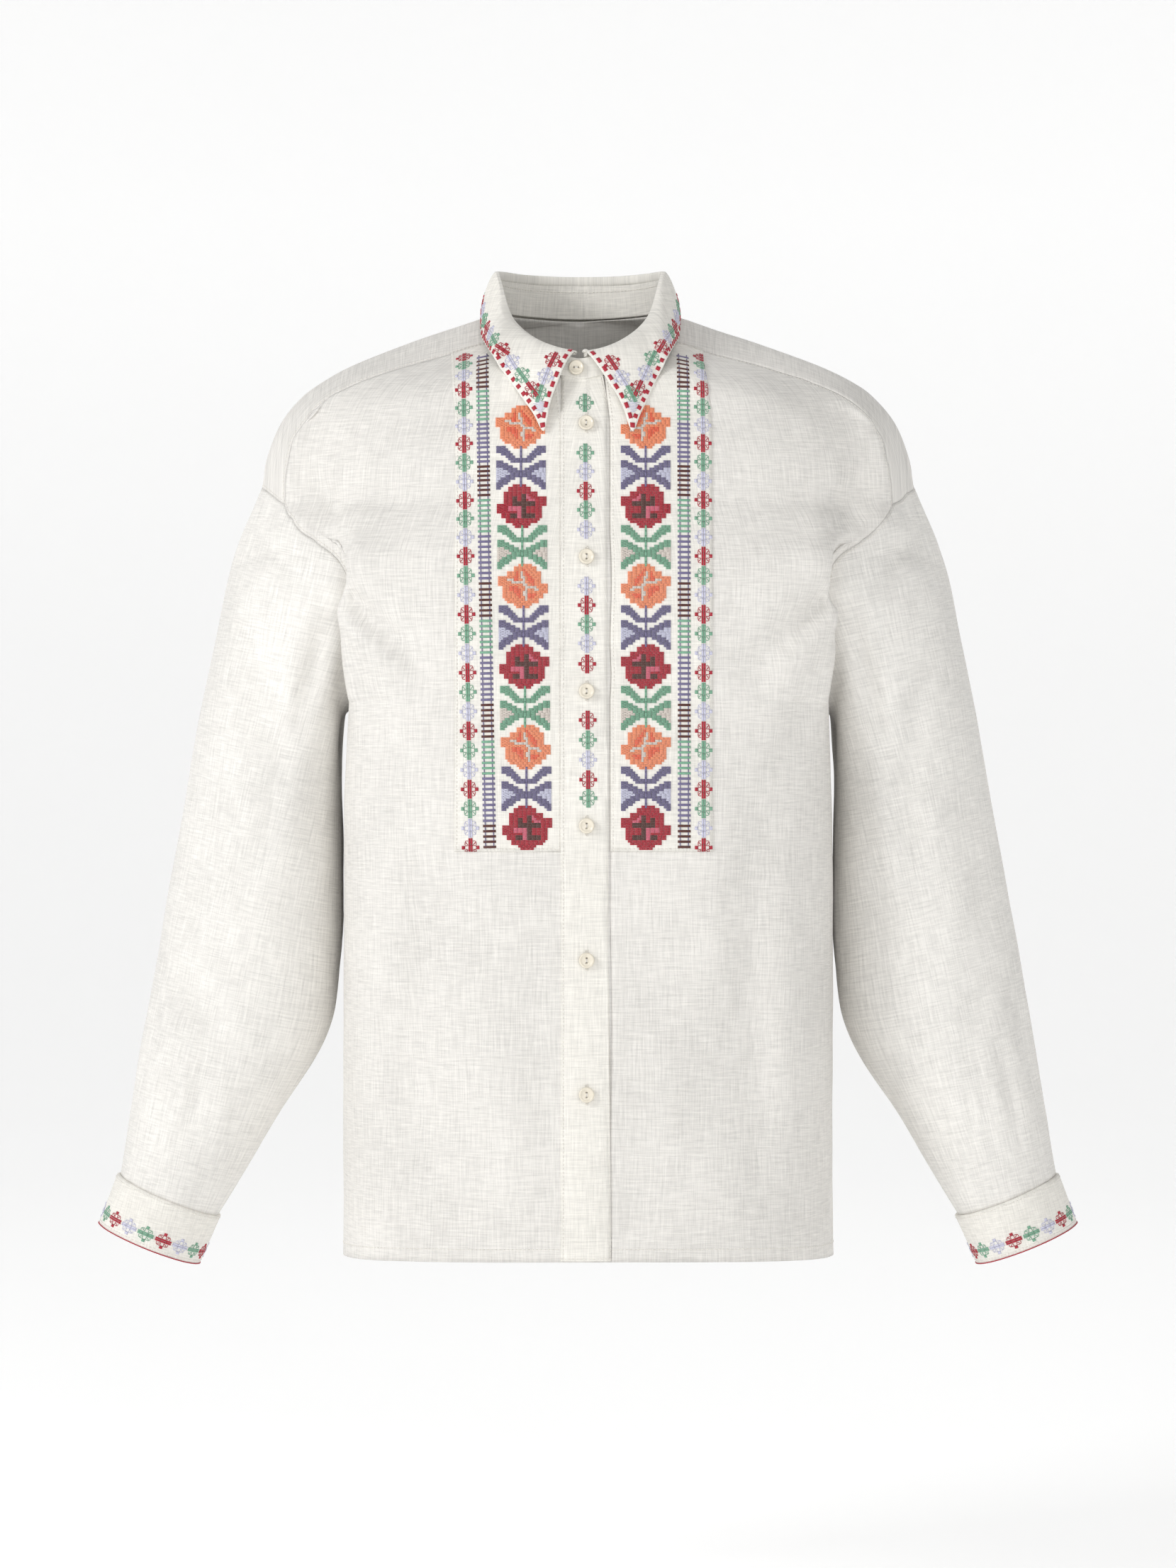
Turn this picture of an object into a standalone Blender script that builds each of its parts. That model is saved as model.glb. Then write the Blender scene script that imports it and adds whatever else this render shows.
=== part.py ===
"""Embroidered linen shirt with a folded collar, filled out as when worn.

Metres, +Z up. The front faces -Y. The origin is inside the neck, at the height where the shoulders carry it.
"""

import math

import bmesh
import bpy
import numpy as np
from mathutils import Matrix, Vector

# Driving sizes
CLOTH = 0.0015
CUFF_CLOTH = 0.0024
COLLAR_CLOTH = 0.0016
STAND_CLOTH = 0.0020
BIB_CLOTH = 0.0012
BAND_CLOTH = 0.0014
SEAM_GAP = 0.0003
ARMHOLE_GAP = 0.0006
LAY_GAP = 0.0005
HEM_FRONT = -0.7200
HEM_SIDE_DROP = 0.0060
UNDERARM = -0.2960
BODY_HALF = 0.1910
BAND_LEFT = -0.0197
BAND_RIGHT = 0.0168
UNDER_EDGE = 0.0172
RIGHT_EDGE = 0.0178
BIB_OUTER_RIGHT_FRONT = 0.1018
BIB_OUTER_LEFT_FRONT = 0.0948
BIB_BOTTOM = -0.4074
NECK_HALF = 0.0700
NECK_DEPTH = 0.0770
NECK_MIDDLE = -0.0110
SEAM_TURN = 70.5
NECK_JOIN = 0.0660
CUFF_HEIGHT = 0.0435
BUTTON_ACROSS = 0.0118
BUTTON_THICK = 0.0026
BUTTON_PITCH = 0.1022
SECOND_BUTTON = -0.0811
NECK_BUTTON = (-0.0040, -0.0376)
BUTTON_LINE = -0.0010
BIB_INSET = 0.0016
BAND_INSET = 0.0012
FOLD_HALF = 0.0660
FOLD_MIDDLE = -0.0090
FOLD_FRONT_DEPTH = 0.0760
FOLD_BACK_DEPTH = 0.0700
STAND_LIFT = 0.0012
STAND_BELOW_FOLD = 0.0024
STAND_BELOW_FOLD_FRONT = 0.0020
STAND_LAP_IN = -0.0014
STAND_LAP_STEP = 0.0026
FALL_LIFT = 0.0034
FALL_LIFT_FRONT = 0.0010
FALL_ABOVE_FOLD = 0.0008
FALL_ROLL = 0.013
FALL_ROLL_SIDE = 0.0040
COLLAR_TIP = (0.0337, -0.0872)
COLLAR_REACH = 0.026
CUFF_EASE = 0.035
CUFF_PROUD = 0.0006
NECK_SHIFT = 0.0062
FIRST_HANDLE = 0.75
WIDEST_HANDLE = 0.2

# Sections of the body by height: side half width, depth of the front and of the back
BODY = {
    "height": (-0.735, -0.600, -0.450, -0.330, -0.200, -0.137, -0.085, -0.045, -0.010),
    "front": (0.121, 0.121, 0.122, 0.122, 0.117, 0.110, 0.102, 0.088, 0.079),
    "back": (0.122, 0.121, 0.124, 0.130, 0.131, 0.124, 0.1135, 0.103, 0.090),
}

# Where each front ends at the side: the side seam below the underarm, and the armhole above it
FRONT_EDGE = {
    "height": (
        -0.735, -0.450, -0.385, -0.340, -0.296, -0.290,
        -0.272, -0.230, -0.1863, -0.1666, -0.1473, -0.1374,
    ),
    "x": (0.1930, 0.1925, 0.1915, 0.1880, 0.180, 0.1775, 0.1760, 0.1790, 0.1915, 0.2143, 0.2310, 0.2371),
    "y": (0.000, 0.000, 0.000, 0.000, 0.000, -0.022, -0.040, -0.066, -0.081, -0.072, -0.056, -0.045),
    "heading": (90, 90, 92, 97, 106, 114, 126, 138, 114, 52, 42, 38),
    "reach": (0.100, 0.103, 0.105, 0.105, 0.107, 0.083, 0.0715, 0.058, 0.037, 0.042, 0.046, 0.050),
}
BACK_EDGE = {
    "height": (
        -0.735, -0.450, -0.385, -0.340, -0.296, -0.290,
        -0.268, -0.222, -0.180, -0.155, -0.137, -0.085,
    ),
    "x": (0.1930, 0.1925, 0.1915, 0.1880, 0.180, 0.1775, 0.1750, 0.1810, 0.2010, 0.2220, 0.2380, 0.2380),
    "y": (0.000, 0.000, 0.000, 0.000, 0.000, 0.024, 0.046, 0.074, 0.083, 0.074, 0.058, 0.064),
    "heading": (-90, -90, -92, -97, -104, -108, -113, -111, -85, -56, -42, -30),
    "reach": (0.096, 0.098, 0.101, 0.103, 0.106, 0.077, 0.060, 0.0415, 0.041, 0.042, 0.050, 0.050),
}

# The yoke runs over the shoulder in rows, from its front seam to its back seam
YOKE = {
    "row": (0.0, 0.2, 0.4, 0.62, 1.0),
    "arm_x": (0.2371, 0.2570, 0.2555, 0.2490, 0.2380),
    "arm_y": (-0.045, -0.002, 0.020, 0.040, 0.058),
    "arm_z": (-0.1374, -0.1220, -0.1235, -0.1280, -0.1370),
    "out_x": (0.132, 0.135, 0.130, 0.120, 0.110),
    "out_y": (-0.009, -0.006, 0.006, 0.022, 0.003),
    "out_z": (-0.036, -0.047, -0.036, -0.008, -0.004),
    "up_x": (0.0026, 0.0110, 0.0125, 0.0190, 0.0300),
    "up_y": (0.005, -0.002, -0.015, -0.026, -0.040),
    "up_z": (-0.0874, -0.0860, -0.0755, -0.0660, -0.0330),
}
NECK_ROW = 0.62
CENTRE_BACK = {
    "row": (0.62, 0.72, 0.85, 1.0),
    "y": (0.0660, 0.0850, 0.1020, 0.1135),
    "z": (0.0170, -0.0080, -0.0440, -0.0850),
}
NECK_HEIGHT = {
    "turn": (0, 35, 70.5, 90, 104, 130, 180),
    "z": (-0.0460, -0.0370, -0.0100, 0.0100, 0.0165, 0.0175, 0.0170),
}
FOLD_HEIGHT = {
    "turn": (0, 15, 27, 40, 52, 60, 69, 78, 93, 122, 180),
    "z": (-0.0245, -0.0210, -0.0152, -0.0067, 0.0040, 0.0140, 0.0305, 0.0420, 0.0475, 0.0500, 0.0510),
}
FALL_REACH = {
    "turn": (SEAM_TURN, 95, 130, 180),
    "out": (0.0095, 0.0075, 0.0095, 0.0130),
}

# Sleeve rings: the outer and inner edges seen from the front, and the depths to the front and back
SLEEVE = {
    "along": (0.0, 0.05, 0.12, 0.28, 0.46, 0.66, 0.84, 1.0),
    "outer_x": (0.2570, 0.2690, 0.2810, 0.2990, 0.3195, 0.3400, 0.3560, 0.3690),
    "outer_z": (-0.1220, -0.1480, -0.1800, -0.2580, -0.3650, -0.4850, -0.5830, -0.6620),
    "inner_x": (0.1770, 0.1910, 0.1950, 0.1950, 0.1950, 0.2030, 0.2480, 0.2910),
    "inner_z": (-0.2960, -0.3040, -0.3300, -0.3860, -0.4560, -0.5420, -0.6220, -0.6940),
    "front": (0.078, 0.077, 0.076, 0.070, 0.062, 0.056, 0.049, 0.0415),
    "back": (0.082, 0.081, 0.080, 0.074, 0.067, 0.060, 0.052, 0.0415),
    "middle": (0.000, 0.006, 0.012, 0.018, 0.018, 0.012, 0.004, 0.000),
}

# Folds: a trough (depth above 0) or a ridge (below 0) between two points on the cloth
FOLDS = {
    "start": (
        (0.212, -0.078, -0.085), (0.200, -0.080, -0.150), (0.150, -0.100, -0.210),
        (0.120, -0.124, -0.470), (0.060, -0.124, -0.500), (0.160, 0.110, -0.230),
        (0.120, 0.124, -0.420), (0.040, 0.124, -0.360), (0.225, -0.085, -0.205),
        (0.285, -0.060, -0.230), (0.262, 0.080, -0.250), (0.335, -0.055, -0.500),
        (0.345, 0.050, -0.560), (0.185, 0.060, -0.480), (0.060, 0.120, -0.140),
    ),
    "end": (
        (0.205, -0.075, -0.175), (0.158, -0.100, -0.240), (0.108, -0.118, -0.300),
        (0.135, -0.118, -0.690), (0.050, -0.122, -0.690), (0.110, 0.125, -0.330),
        (0.135, 0.118, -0.700), (0.055, 0.122, -0.690), (0.290, -0.065, -0.160),
        (0.250, -0.060, -0.340), (0.300, 0.055, -0.190), (0.290, -0.050, -0.560),
        (0.290, 0.045, -0.600), (0.186, 0.055, -0.700), (0.075, 0.122, -0.270),
    ),
    "width": (
        0.013, 0.014, 0.016, 0.022, 0.018, 0.020, 0.024, 0.022,
        0.012, 0.014, 0.016, 0.014, 0.015, 0.018, 0.016,
    ),
    "depth": (
        0.007, 0.006, 0.003, 0.005, -0.003, 0.005, 0.006, 0.005,
        0.005, 0.005, 0.006, 0.003, 0.004, 0.004, 0.004,
    ),
    "sides": (0, 0, 0, 0, 0, 0, 1, -1, 0, 0, 0, 0, 0, 0, -1),
}

# How finely the walls are sampled
BODY_ROWS = 7
PANEL_HEIGHTS = (BIB_BOTTOM, -0.370, -0.330)
ARMHOLE_HEIGHTS = (-0.296, -0.290, -0.272, -0.248, -0.216, -0.1863, -0.1666, -0.1500, -0.1374)
YOKE_RISE = (0.2, 0.4, 0.6, 0.8, 1.0)
OUTER_COLUMNS = (0.14, 0.28, 0.42, 0.56, 0.70, 0.85, 1.0)
YOKE_ROWS = (0.0, 0.1, 0.2, 0.3, 0.4, 0.51, 0.62, 0.80, 1.0)
SLEEVE_STEPS = (0.0, 0.05, 0.11, 0.18, 0.26, 0.34, 0.42, 0.50, 0.58, 0.66, 0.74, 0.82, 0.91, 1.0)
SEAM_BEND = 0.60
FALL_STEPS = (1.0, 0.82, 0.64, 0.46, 0.30, 0.16, 0.06, 0.0)
COLLAR_TURNS = (3, 12, 22, 33, 45, 57, 68, 80, 93, 107, 122, 137, 152, 166, 180)

COLOURS = {
    "linen": (0.76, 0.74, 0.70),
    "double_linen": (0.83, 0.80, 0.74),
    "button": (0.80, 0.76, 0.66),
}


def curve_slopes(knots, values):
    """Slopes that carry a smooth curve through a column without overshoot."""
    steps = np.diff(knots)
    rises = np.diff(values) / steps
    slopes = np.zeros(len(knots))
    slopes[0], slopes[-1] = rises[0], rises[-1]
    for i in range(1, len(knots) - 1):
        if rises[i - 1] * rises[i] > 0:
            before, after = 2 * steps[i] + steps[i - 1], steps[i] + 2 * steps[i - 1]
            slopes[i] = (before + after) / (before / rises[i - 1] + after / rises[i])
    return slopes


def read(table, column, at):
    """The smooth curve through a table's column, read at the value of its first column."""
    knots = np.asarray(next(iter(table.values())), float)
    values = np.asarray(table[column], float)
    slopes = curve_slopes(knots, values)
    at = np.clip(np.asarray(at, float), knots[0], knots[-1])
    i = np.clip(np.searchsorted(knots, at, side="right") - 1, 0, len(knots) - 2)
    step = knots[i + 1] - knots[i]
    t = (at - knots[i]) / step
    return (
        values[i] * (1 + 2 * t) * (1 - t) ** 2
        + slopes[i] * step * t * (1 - t) ** 2
        + values[i + 1] * t * t * (3 - 2 * t)
        + slopes[i + 1] * step * t * t * (t - 1)
    )


def ease(value, low, high):
    t = np.clip((np.asarray(value, float) - low) / (high - low), 0, 1)
    return t * t * (3 - 2 * t)


def bezier(corners, t):
    t = np.asarray(t, float)[..., None]
    a, b, c, d = corners
    return a * (1 - t) ** 3 + 3 * b * t * (1 - t) ** 2 + 3 * c * t * t * (1 - t) + d * t**3


def neck_turn(x):
    return math.degrees(math.asin(min(abs(x) / NECK_HALF, 1.0)))


def neck_plan(turn):
    """The neckline's x and y, turning from centre front (0) to centre back (180)."""
    angle = np.radians(turn)
    return NECK_HALF * np.sin(angle), NECK_MIDDLE - NECK_DEPTH * np.cos(angle)


def yoke_start(row):
    if row <= NECK_ROW:
        turn = SEAM_TURN + (180 - SEAM_TURN) * row / NECK_ROW
        x, y = neck_plan(turn)
        return np.array([max(x, 0.0), y, read(NECK_HEIGHT, "z", turn)])
    return np.array([0.0, read(CENTRE_BACK, "y", row), read(CENTRE_BACK, "z", row)])


def yoke_point(s, row):
    """A point of the yoke: s runs from neck or centre back to the armhole, row from front to back."""
    start = yoke_start(row)
    arm, out, up = (
        np.array([read(YOKE, f"{name}_{axis}", row) for axis in "xyz"])
        for name in ("arm", "out", "up")
    )
    return bezier((start, start + out, arm - up, arm), s)


def yoke_at(x, y, tiny=0.001):
    """The yoke's s and row over a place in plan, in short steps along its slopes."""
    s, row = 0.12, 0.45
    for _ in range(60):
        here = yoke_point(s, row)[:2]
        along_s = (yoke_point(s + tiny, row)[:2] - here) / tiny
        along_row = (yoke_point(s, row + tiny)[:2] - here) / tiny
        step = np.linalg.solve(np.array([along_s, along_row]).T, np.array([x, y]) - here)
        s, row = np.clip(np.array([s, row]) + np.clip(step, -0.04, 0.04), 0.0, 0.99)
    return float(s), float(row)


def solve(function, target, low=0.0, high=1.0):
    """The value at which a rising or falling function meets the target."""
    rising = function(high) > function(low)
    for _ in range(40):
        middle = (low + high) / 2
        if (function(middle) < target) == rising:
            low = middle
        else:
            high = middle
    return (low + high) / 2


def seam_at_height(z):
    """Where the yoke's front seam has this height."""
    return solve(lambda s: float(yoke_point(s, 0.0)[2]), z)


def section(edges, depth, z, sign):
    """Corners of the level curve from the centre (sign -1 front, 1 back) to the panel's edge."""
    centre = sign * float(read(BODY, depth, z))
    if sign < 0 and z > FRONT_EDGE["height"][-1]:
        edge = yoke_point(seam_at_height(z), 0.0)
        rise = ease(z, FRONT_EDGE["height"][-1], -0.05)
        heading = math.radians(38 - 20 * rise)
        reach = 0.050
    else:
        edge = np.array([read(edges, "x", z), read(edges, "y", z), z])
        heading = math.radians(float(read(edges, "heading", z)))
        reach = float(read(edges, "reach", z))
    start = np.array([0.0, centre, z])
    along = np.array([math.cos(heading), math.sin(heading), 0.0])
    width = max(float(edge[0]), BODY_HALF) if z < FRONT_EDGE["height"][-1] else float(edge[0])
    handle = np.array([FIRST_HANDLE * min(width, WIDEST_HANDLE), 0.0, 0.0])
    return start, start + handle, edge - reach * along, edge


def front_section(z):
    return section(FRONT_EDGE, "front", z, -1)


def back_section(z):
    return section(BACK_EDGE, "back", z, 1)


def share_at(corners, x):
    """The share along a level curve at which it reaches x, on the way out from the centre."""
    return solve(lambda t: float(bezier(corners, t)[0]), x, 0.0, 0.75)


def front_point(x, z):
    """The front's cloth before folds, at x across and height z."""
    corners = front_section(z)
    if abs(x) >= corners[3][0]:
        return np.array([x, corners[3][1], z])
    share = solve(lambda t: float(bezier(corners, t)[0]), abs(x), 0.0, 1.0)
    return np.array([x, float(bezier(corners, share)[1]), z])


def front_normal(x, z, step=0.002):
    across = front_point(x + step, z) - front_point(x - step, z)
    up = front_point(x, z + step) - front_point(x, z - step)
    normal = np.cross(across, up)
    return normal / np.linalg.norm(normal)


def neckline(turn):
    """The neckline's point at a turn from centre front, on the right of the picture."""
    x, y = neck_plan(turn)
    z = float(read(NECK_HEIGHT, "z", turn))
    if turn < SEAM_TURN:
        return front_point(x, z)
    return np.array([x, y, z])


def hem_height(share):
    return HEM_FRONT - HEM_SIDE_DROP * share * share


def front_grid(columns_at, bib_outer):
    """One front as rows from hem to top, columns from the opening to the side, at positive x."""
    rows = []
    count = len(columns_at) + len(OUTER_COLUMNS)

    def row_at(z, hem_share=None):
        points = []
        corners = front_section(z)
        bib_share = share_at(corners, bib_outer)
        for j in range(count):
            if j < len(columns_at):
                x = columns_at[j]
                share = share_at(corners, abs(x))
            else:
                x = None
                share = bib_share + (1 - bib_share) * OUTER_COLUMNS[j - len(columns_at)]
            height = z
            if hem_share is not None:
                height = hem_height(share) + (BIB_BOTTOM - hem_height(share)) * hem_share
            point = bezier(front_section(height), share)
            if x is not None:
                point = front_point(x, height)
            points.append(point)
        return points

    for hem_share in np.linspace(0, 1, BODY_ROWS)[:-1]:
        z = HEM_FRONT + (BIB_BOTTOM - HEM_FRONT) * hem_share
        rows.append(row_at(z, hem_share))
    for z in PANEL_HEIGHTS + ARMHOLE_HEIGHTS:
        rows.append(row_at(z))

    base = rows[-1]
    tops = front_tops(columns_at, bib_outer)
    bend = tops[-1]
    for rise in YOKE_RISE:
        edge_z = base[-1][2] + (bend[2] - base[-1][2]) * rise
        edge = yoke_point(seam_at_height(edge_z), 0.0)
        straight = base[-1] + (bend - base[-1]) * rise
        row = []
        for j, (low, top) in enumerate(zip(base, tops)):
            point = low + (top - low) * rise
            across = min(max((j - len(columns_at) + 1) / len(OUTER_COLUMNS), 0), 1)
            x = point[0] + (edge[0] - straight[0]) * across**2
            row.append(edge if j == count - 1 else front_point(x, point[2]))
        rows.append(row)
    rows[-1] = tops
    return np.array(rows)


def seam_shares(bib_outer):
    """Shares along the yoke's front seam that both sides of it use."""
    at_bib = solve(lambda s: float(yoke_point(s, 0.0)[0]), bib_outer)
    out = [at_bib + (SEAM_BEND - at_bib) * share for share in OUTER_COLUMNS]
    bend = float(yoke_point(SEAM_BEND, 0.0)[2])
    corner = FRONT_EDGE["height"][-1]
    down = [seam_at_height(corner + (bend - corner) * rise) for rise in reversed(YOKE_RISE[:-1])]
    return [0.0, at_bib] + out + down + [1.0]


def front_tops(columns_at, bib_outer):
    tops = []
    for x in columns_at:
        if abs(x) < NECK_JOIN - 1e-6:
            tops.append(front_point(x, float(read(NECK_HEIGHT, "z", neck_turn(x)))))
        elif abs(x) < NECK_JOIN + 1e-6:
            tops.append(yoke_point(0.0, 0.0))
    shares = seam_shares(bib_outer)
    tops += [yoke_point(s, 0.0) for s in shares[1 : 2 + len(OUTER_COLUMNS)]]
    return tops


def yoke_grid(bib_outer):
    shares = seam_shares(bib_outer)
    return np.array([[yoke_point(s, row) for s in shares] for row in YOKE_ROWS])


def back_grid(bib_outer):
    """Half of the back: rows from hem to the yoke's seam, columns from centre back to the side."""
    seam = [yoke_point(s, 1.0) for s in seam_shares(bib_outer)]
    shares = []
    for point in seam:
        corners = back_section(float(point[2]))
        shares.append(solve(lambda t: float(bezier(corners, t)[0]), float(point[0])))
    shares[0], shares[-1] = 0.0, 1.0
    meets = [bezier(back_section(float(p[2])), s) for p, s in zip(seam, shares)]
    rows = []
    for hem_share in np.linspace(0, 1, BODY_ROWS)[:-1]:
        row = []
        for share in shares:
            low = hem_height(share)
            row.append(bezier(back_section(low + (BIB_BOTTOM - low) * hem_share), share))
        rows.append(row)
    for z in (*PANEL_HEIGHTS, UNDERARM):
        rows.append([bezier(back_section(z), share) for share in shares])
    for z in ARMHOLE_HEIGHTS[1:]:
        rise = (z - UNDERARM) / (FRONT_EDGE["height"][-1] - UNDERARM)
        row = []
        for share, top, meet in zip(shares, seam, meets):
            height = UNDERARM + (float(top[2]) - UNDERARM) * rise
            point = bezier(back_section(height), share)
            row.append(point + (top - meet) * rise**3)
        rows.append(row)
    rows[-1] = seam
    return np.array(rows)


def armhole_loop(front, yoke, back):
    """The armhole's points from the shoulder's top, down the front, under the arm and up the back."""
    under = BODY_ROWS - 1 + len(PANEL_HEIGHTS)
    corner = under + len(ARMHOLE_HEIGHTS) - 1
    top = YOKE_ROWS.index(0.2)
    loop = [yoke[i, -1] for i in range(top, 0, -1)]
    loop += [front[i, -1] for i in range(corner, under - 1, -1)]
    loop += [back[i, -1] for i in range(under + 1, len(back))]
    loop += [yoke[i, -1] for i in range(len(yoke) - 2, top, -1)]
    return np.array(loop)


def sleeve_ring(along, angles, start=None):
    """A ring across the sleeve, from its outer edge over the front and round."""
    outer = np.array([read(SLEEVE, "outer_x", along), 0.0, read(SLEEVE, "outer_z", along)])
    inner = np.array([read(SLEEVE, "inner_x", along), 0.0, read(SLEEVE, "inner_z", along)])
    half = (outer - inner) / 2
    front, back = read(SLEEVE, "front", along), read(SLEEVE, "back", along)
    ring = []
    for angle in angles:
        depth = front if math.sin(angle) > 0 else back
        point = (outer + inner) / 2 + half * math.cos(angle)
        point[1] = read(SLEEVE, "middle", along) - depth * math.sin(angle)
        ring.append(point)
    return np.array(ring)


def loop_angles(loop):
    """An angle for each armhole point: 0 at the top, half a turn under the arm."""
    lengths = np.linalg.norm(np.roll(loop, -1, axis=0) - loop, axis=1)
    travelled = np.concatenate([[0], np.cumsum(lengths)[:-1]])
    under = int(np.argmin(loop[:, 2]))
    total = lengths.sum()
    angles = np.where(
        np.arange(len(loop)) <= under,
        math.pi * travelled / travelled[under],
        math.pi * (1 + (travelled - travelled[under]) / (total - travelled[under])),
    )
    return angles


def sleeve_grid(loop):
    """Rows from the cuff up to the armhole, closed round, as seen from outside."""
    angles = loop_angles(loop)
    first = sleeve_ring(0.0, angles)
    rows = []
    for along in SLEEVE_STEPS:
        ring = sleeve_ring(along, angles)
        ring += (loop - first) * (1 - ease(along, 0.0, 0.34))[..., None]
        rows.append(ring)
    rows.reverse()
    return np.array(rows)


def cuff_grid(sleeve_end):
    """The cuff goes on from the sleeve's end, a little narrower at its hem."""
    outer = np.array([read(SLEEVE, "outer_x", 1.0), 0.0, read(SLEEVE, "outer_z", 1.0)])
    inner = np.array([read(SLEEVE, "inner_x", 1.0), 0.0, read(SLEEVE, "inner_z", 1.0)])
    across = (outer - inner) / np.linalg.norm(outer - inner)
    down = np.array([-across[2], 0.0, across[0]])
    down *= -math.copysign(1, down[2])
    middle = (outer + inner) / 2
    rows = []
    for share in (1.0, 0.5, 0.06, 0.0):
        swell = 1.0 + CUFF_EASE * (ease(share, 0.0, 0.06) - share)
        ring = middle + (sleeve_end - middle) * swell + down * CUFF_HEIGHT * share
        rows.append(ring)
    return np.array(rows)


def grid_mesh(grid, closed=False):
    """Points and four-sided faces of a grid, facing out where columns go right and rows go up."""
    rows, columns = grid.shape[:2]
    spans = columns if closed else columns - 1
    faces = []
    for low in range(0, (rows - 1) * columns, columns):
        high = low + columns
        for j in range(spans):
            after = (j + 1) % columns
            faces.append((low + j, low + after, high + after, high + j))
    return grid.reshape(-1, 3), faces


def mirrored(grid):
    """The other side's grid, with its columns turned round so that it still faces out."""
    return (grid * np.array([-1.0, 1.0, 1.0]))[:, ::-1]


def joined(*meshes):
    """Meshes made one, with the points on their common edge shared."""
    points, faces, seen = [], [], {}
    for own, own_faces in meshes:
        names = []
        for point in own:
            key = tuple(np.round(point, 6))
            if key not in seen:
                seen[key] = len(points)
                points.append(point)
            names.append(seen[key])
        faces += [tuple(names[i] for i in face) for face in own_faces]
    return np.array(points), faces


def face_turn(points, face):
    corners = points[list(face)]
    return np.cross(corners[2] - corners[0], corners[3] - corners[1])


def form_normals(sheets):
    """Normals of the whole form at each sheet's points, so that walls meet at seams."""
    sums = {}
    for points, faces in sheets:
        for face in faces:
            turn = face_turn(points, face)
            for i in face:
                key = tuple(np.round(points[i], 6))
                sums[key] = sums.get(key, np.zeros(3)) + turn
    result = []
    for points, _ in sheets:
        normals = np.array([sums[tuple(np.round(p, 6))] for p in points])
        result.append(normals / np.linalg.norm(normals, axis=1)[:, None])
    return result


def folded(points, normals):
    """Presses the table's troughs and ridges into points along their normals."""
    moved = points.copy()
    for start, end, width, depth, side in zip(*(FOLDS[name] for name in FOLDS)):
        for mirror in (1.0, -1.0):
            if side and side != mirror:
                continue
            a = np.array(start) * (mirror, 1, 1)
            b = np.array(end) * (mirror, 1, 1)
            along = np.clip(((points - a) @ (b - a)) / ((b - a) @ (b - a)), 0, 1)
            away = np.linalg.norm(points - (a + along[:, None] * (b - a)), axis=1)
            fade = np.sin(math.pi * np.clip(along, 0.08, 0.92)) ** 0.6
            moved -= normals * (depth * fade * np.exp(-((away / width) ** 2)))[:, None]
    return moved


def settled(points):
    """The neck sits a little to the left of the body's middle, as the cloth settled."""
    moved = np.array(points, float)
    near_neck = ease(moved[:, 2], -0.090, -0.015) * (1 - ease(abs(moved[:, 0]), 0.06, 0.23))
    moved[:, 0] -= NECK_SHIFT * near_neck
    return moved


def boundary(faces):
    """The directed edges that only one face has."""
    edges = {(face[k], face[(k + 1) % len(face)]) for face in faces for k in range(len(face))}
    return [(a, b) for a, b in edges if (b, a) not in edges]


def drawn_in(points, faces, normals, gap):
    """The sheet with its border drawn in, and moved back from a neighbour that it is folded against."""
    own = sheet_normals(points, faces)
    inward = {}
    for a, b in sorted(boundary(faces)):
        side = np.cross(normals[a] + normals[b], points[b] - points[a])
        side /= np.linalg.norm(side)
        inward.setdefault(a, []).append(side)
        inward.setdefault(b, []).append(side)
    moved = points.copy()
    for i, sides in inward.items():
        total = np.sum(sides, axis=0)
        moved[i] += total / max(1 + float(sides[0] @ sides[-1]), 0.5) * gap / 2
        moved[i] -= own[i] * (1 - float(own[i] @ normals[i])) * gap
    return moved


def wall(name, points, faces, normals, outer, inner, colour):
    """A closed wall between the sheet moved out by outer and by inner along its normals."""
    count = len(points)
    both = np.concatenate([points + normals * outer, points + normals * inner])
    halves = [(face[i], face[i + 1], face[0]) for face in faces for i in (1, 2)]
    shell = halves + [tuple(i + count for i in reversed(face)) for face in halves]
    shell += [(b, a, a + count, b + count) for a, b in sorted(boundary(faces))]
    mesh = bpy.data.meshes.new(name)
    mesh.from_pydata([tuple(p) for p in settled(both)], [], shell)
    mesh.validate()
    mesh.shade_smooth()
    mesh.set_sharp_from_angle(angle=math.radians(50))
    return placed(name, mesh, colour)


def placed(name, mesh, colour):
    mesh.materials.append(material(colour))
    made = bpy.data.objects.new(name, mesh)
    collection().objects.link(made)
    return made


def collection():
    found = bpy.data.collections.get("embroidered_shirt")
    if found is None:
        found = bpy.data.collections.new("embroidered_shirt")
        bpy.context.scene.collection.children.link(found)
    return found


def material(name):
    made = bpy.data.materials.get(name)
    if made is None:
        made = bpy.data.materials.new(name)
        made.use_nodes = True
        shader = made.node_tree.nodes["Principled BSDF"]
        shader.inputs["Base Color"].default_value = (*COLOURS[name], 1.0)
        shader.inputs["Roughness"].default_value = 0.45 if name == "button" else 0.85
        shader.inputs["Metallic"].default_value = 0.0
    return made


def sheet_normals(points, faces):
    return form_normals([(points, faces)])[0]


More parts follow.
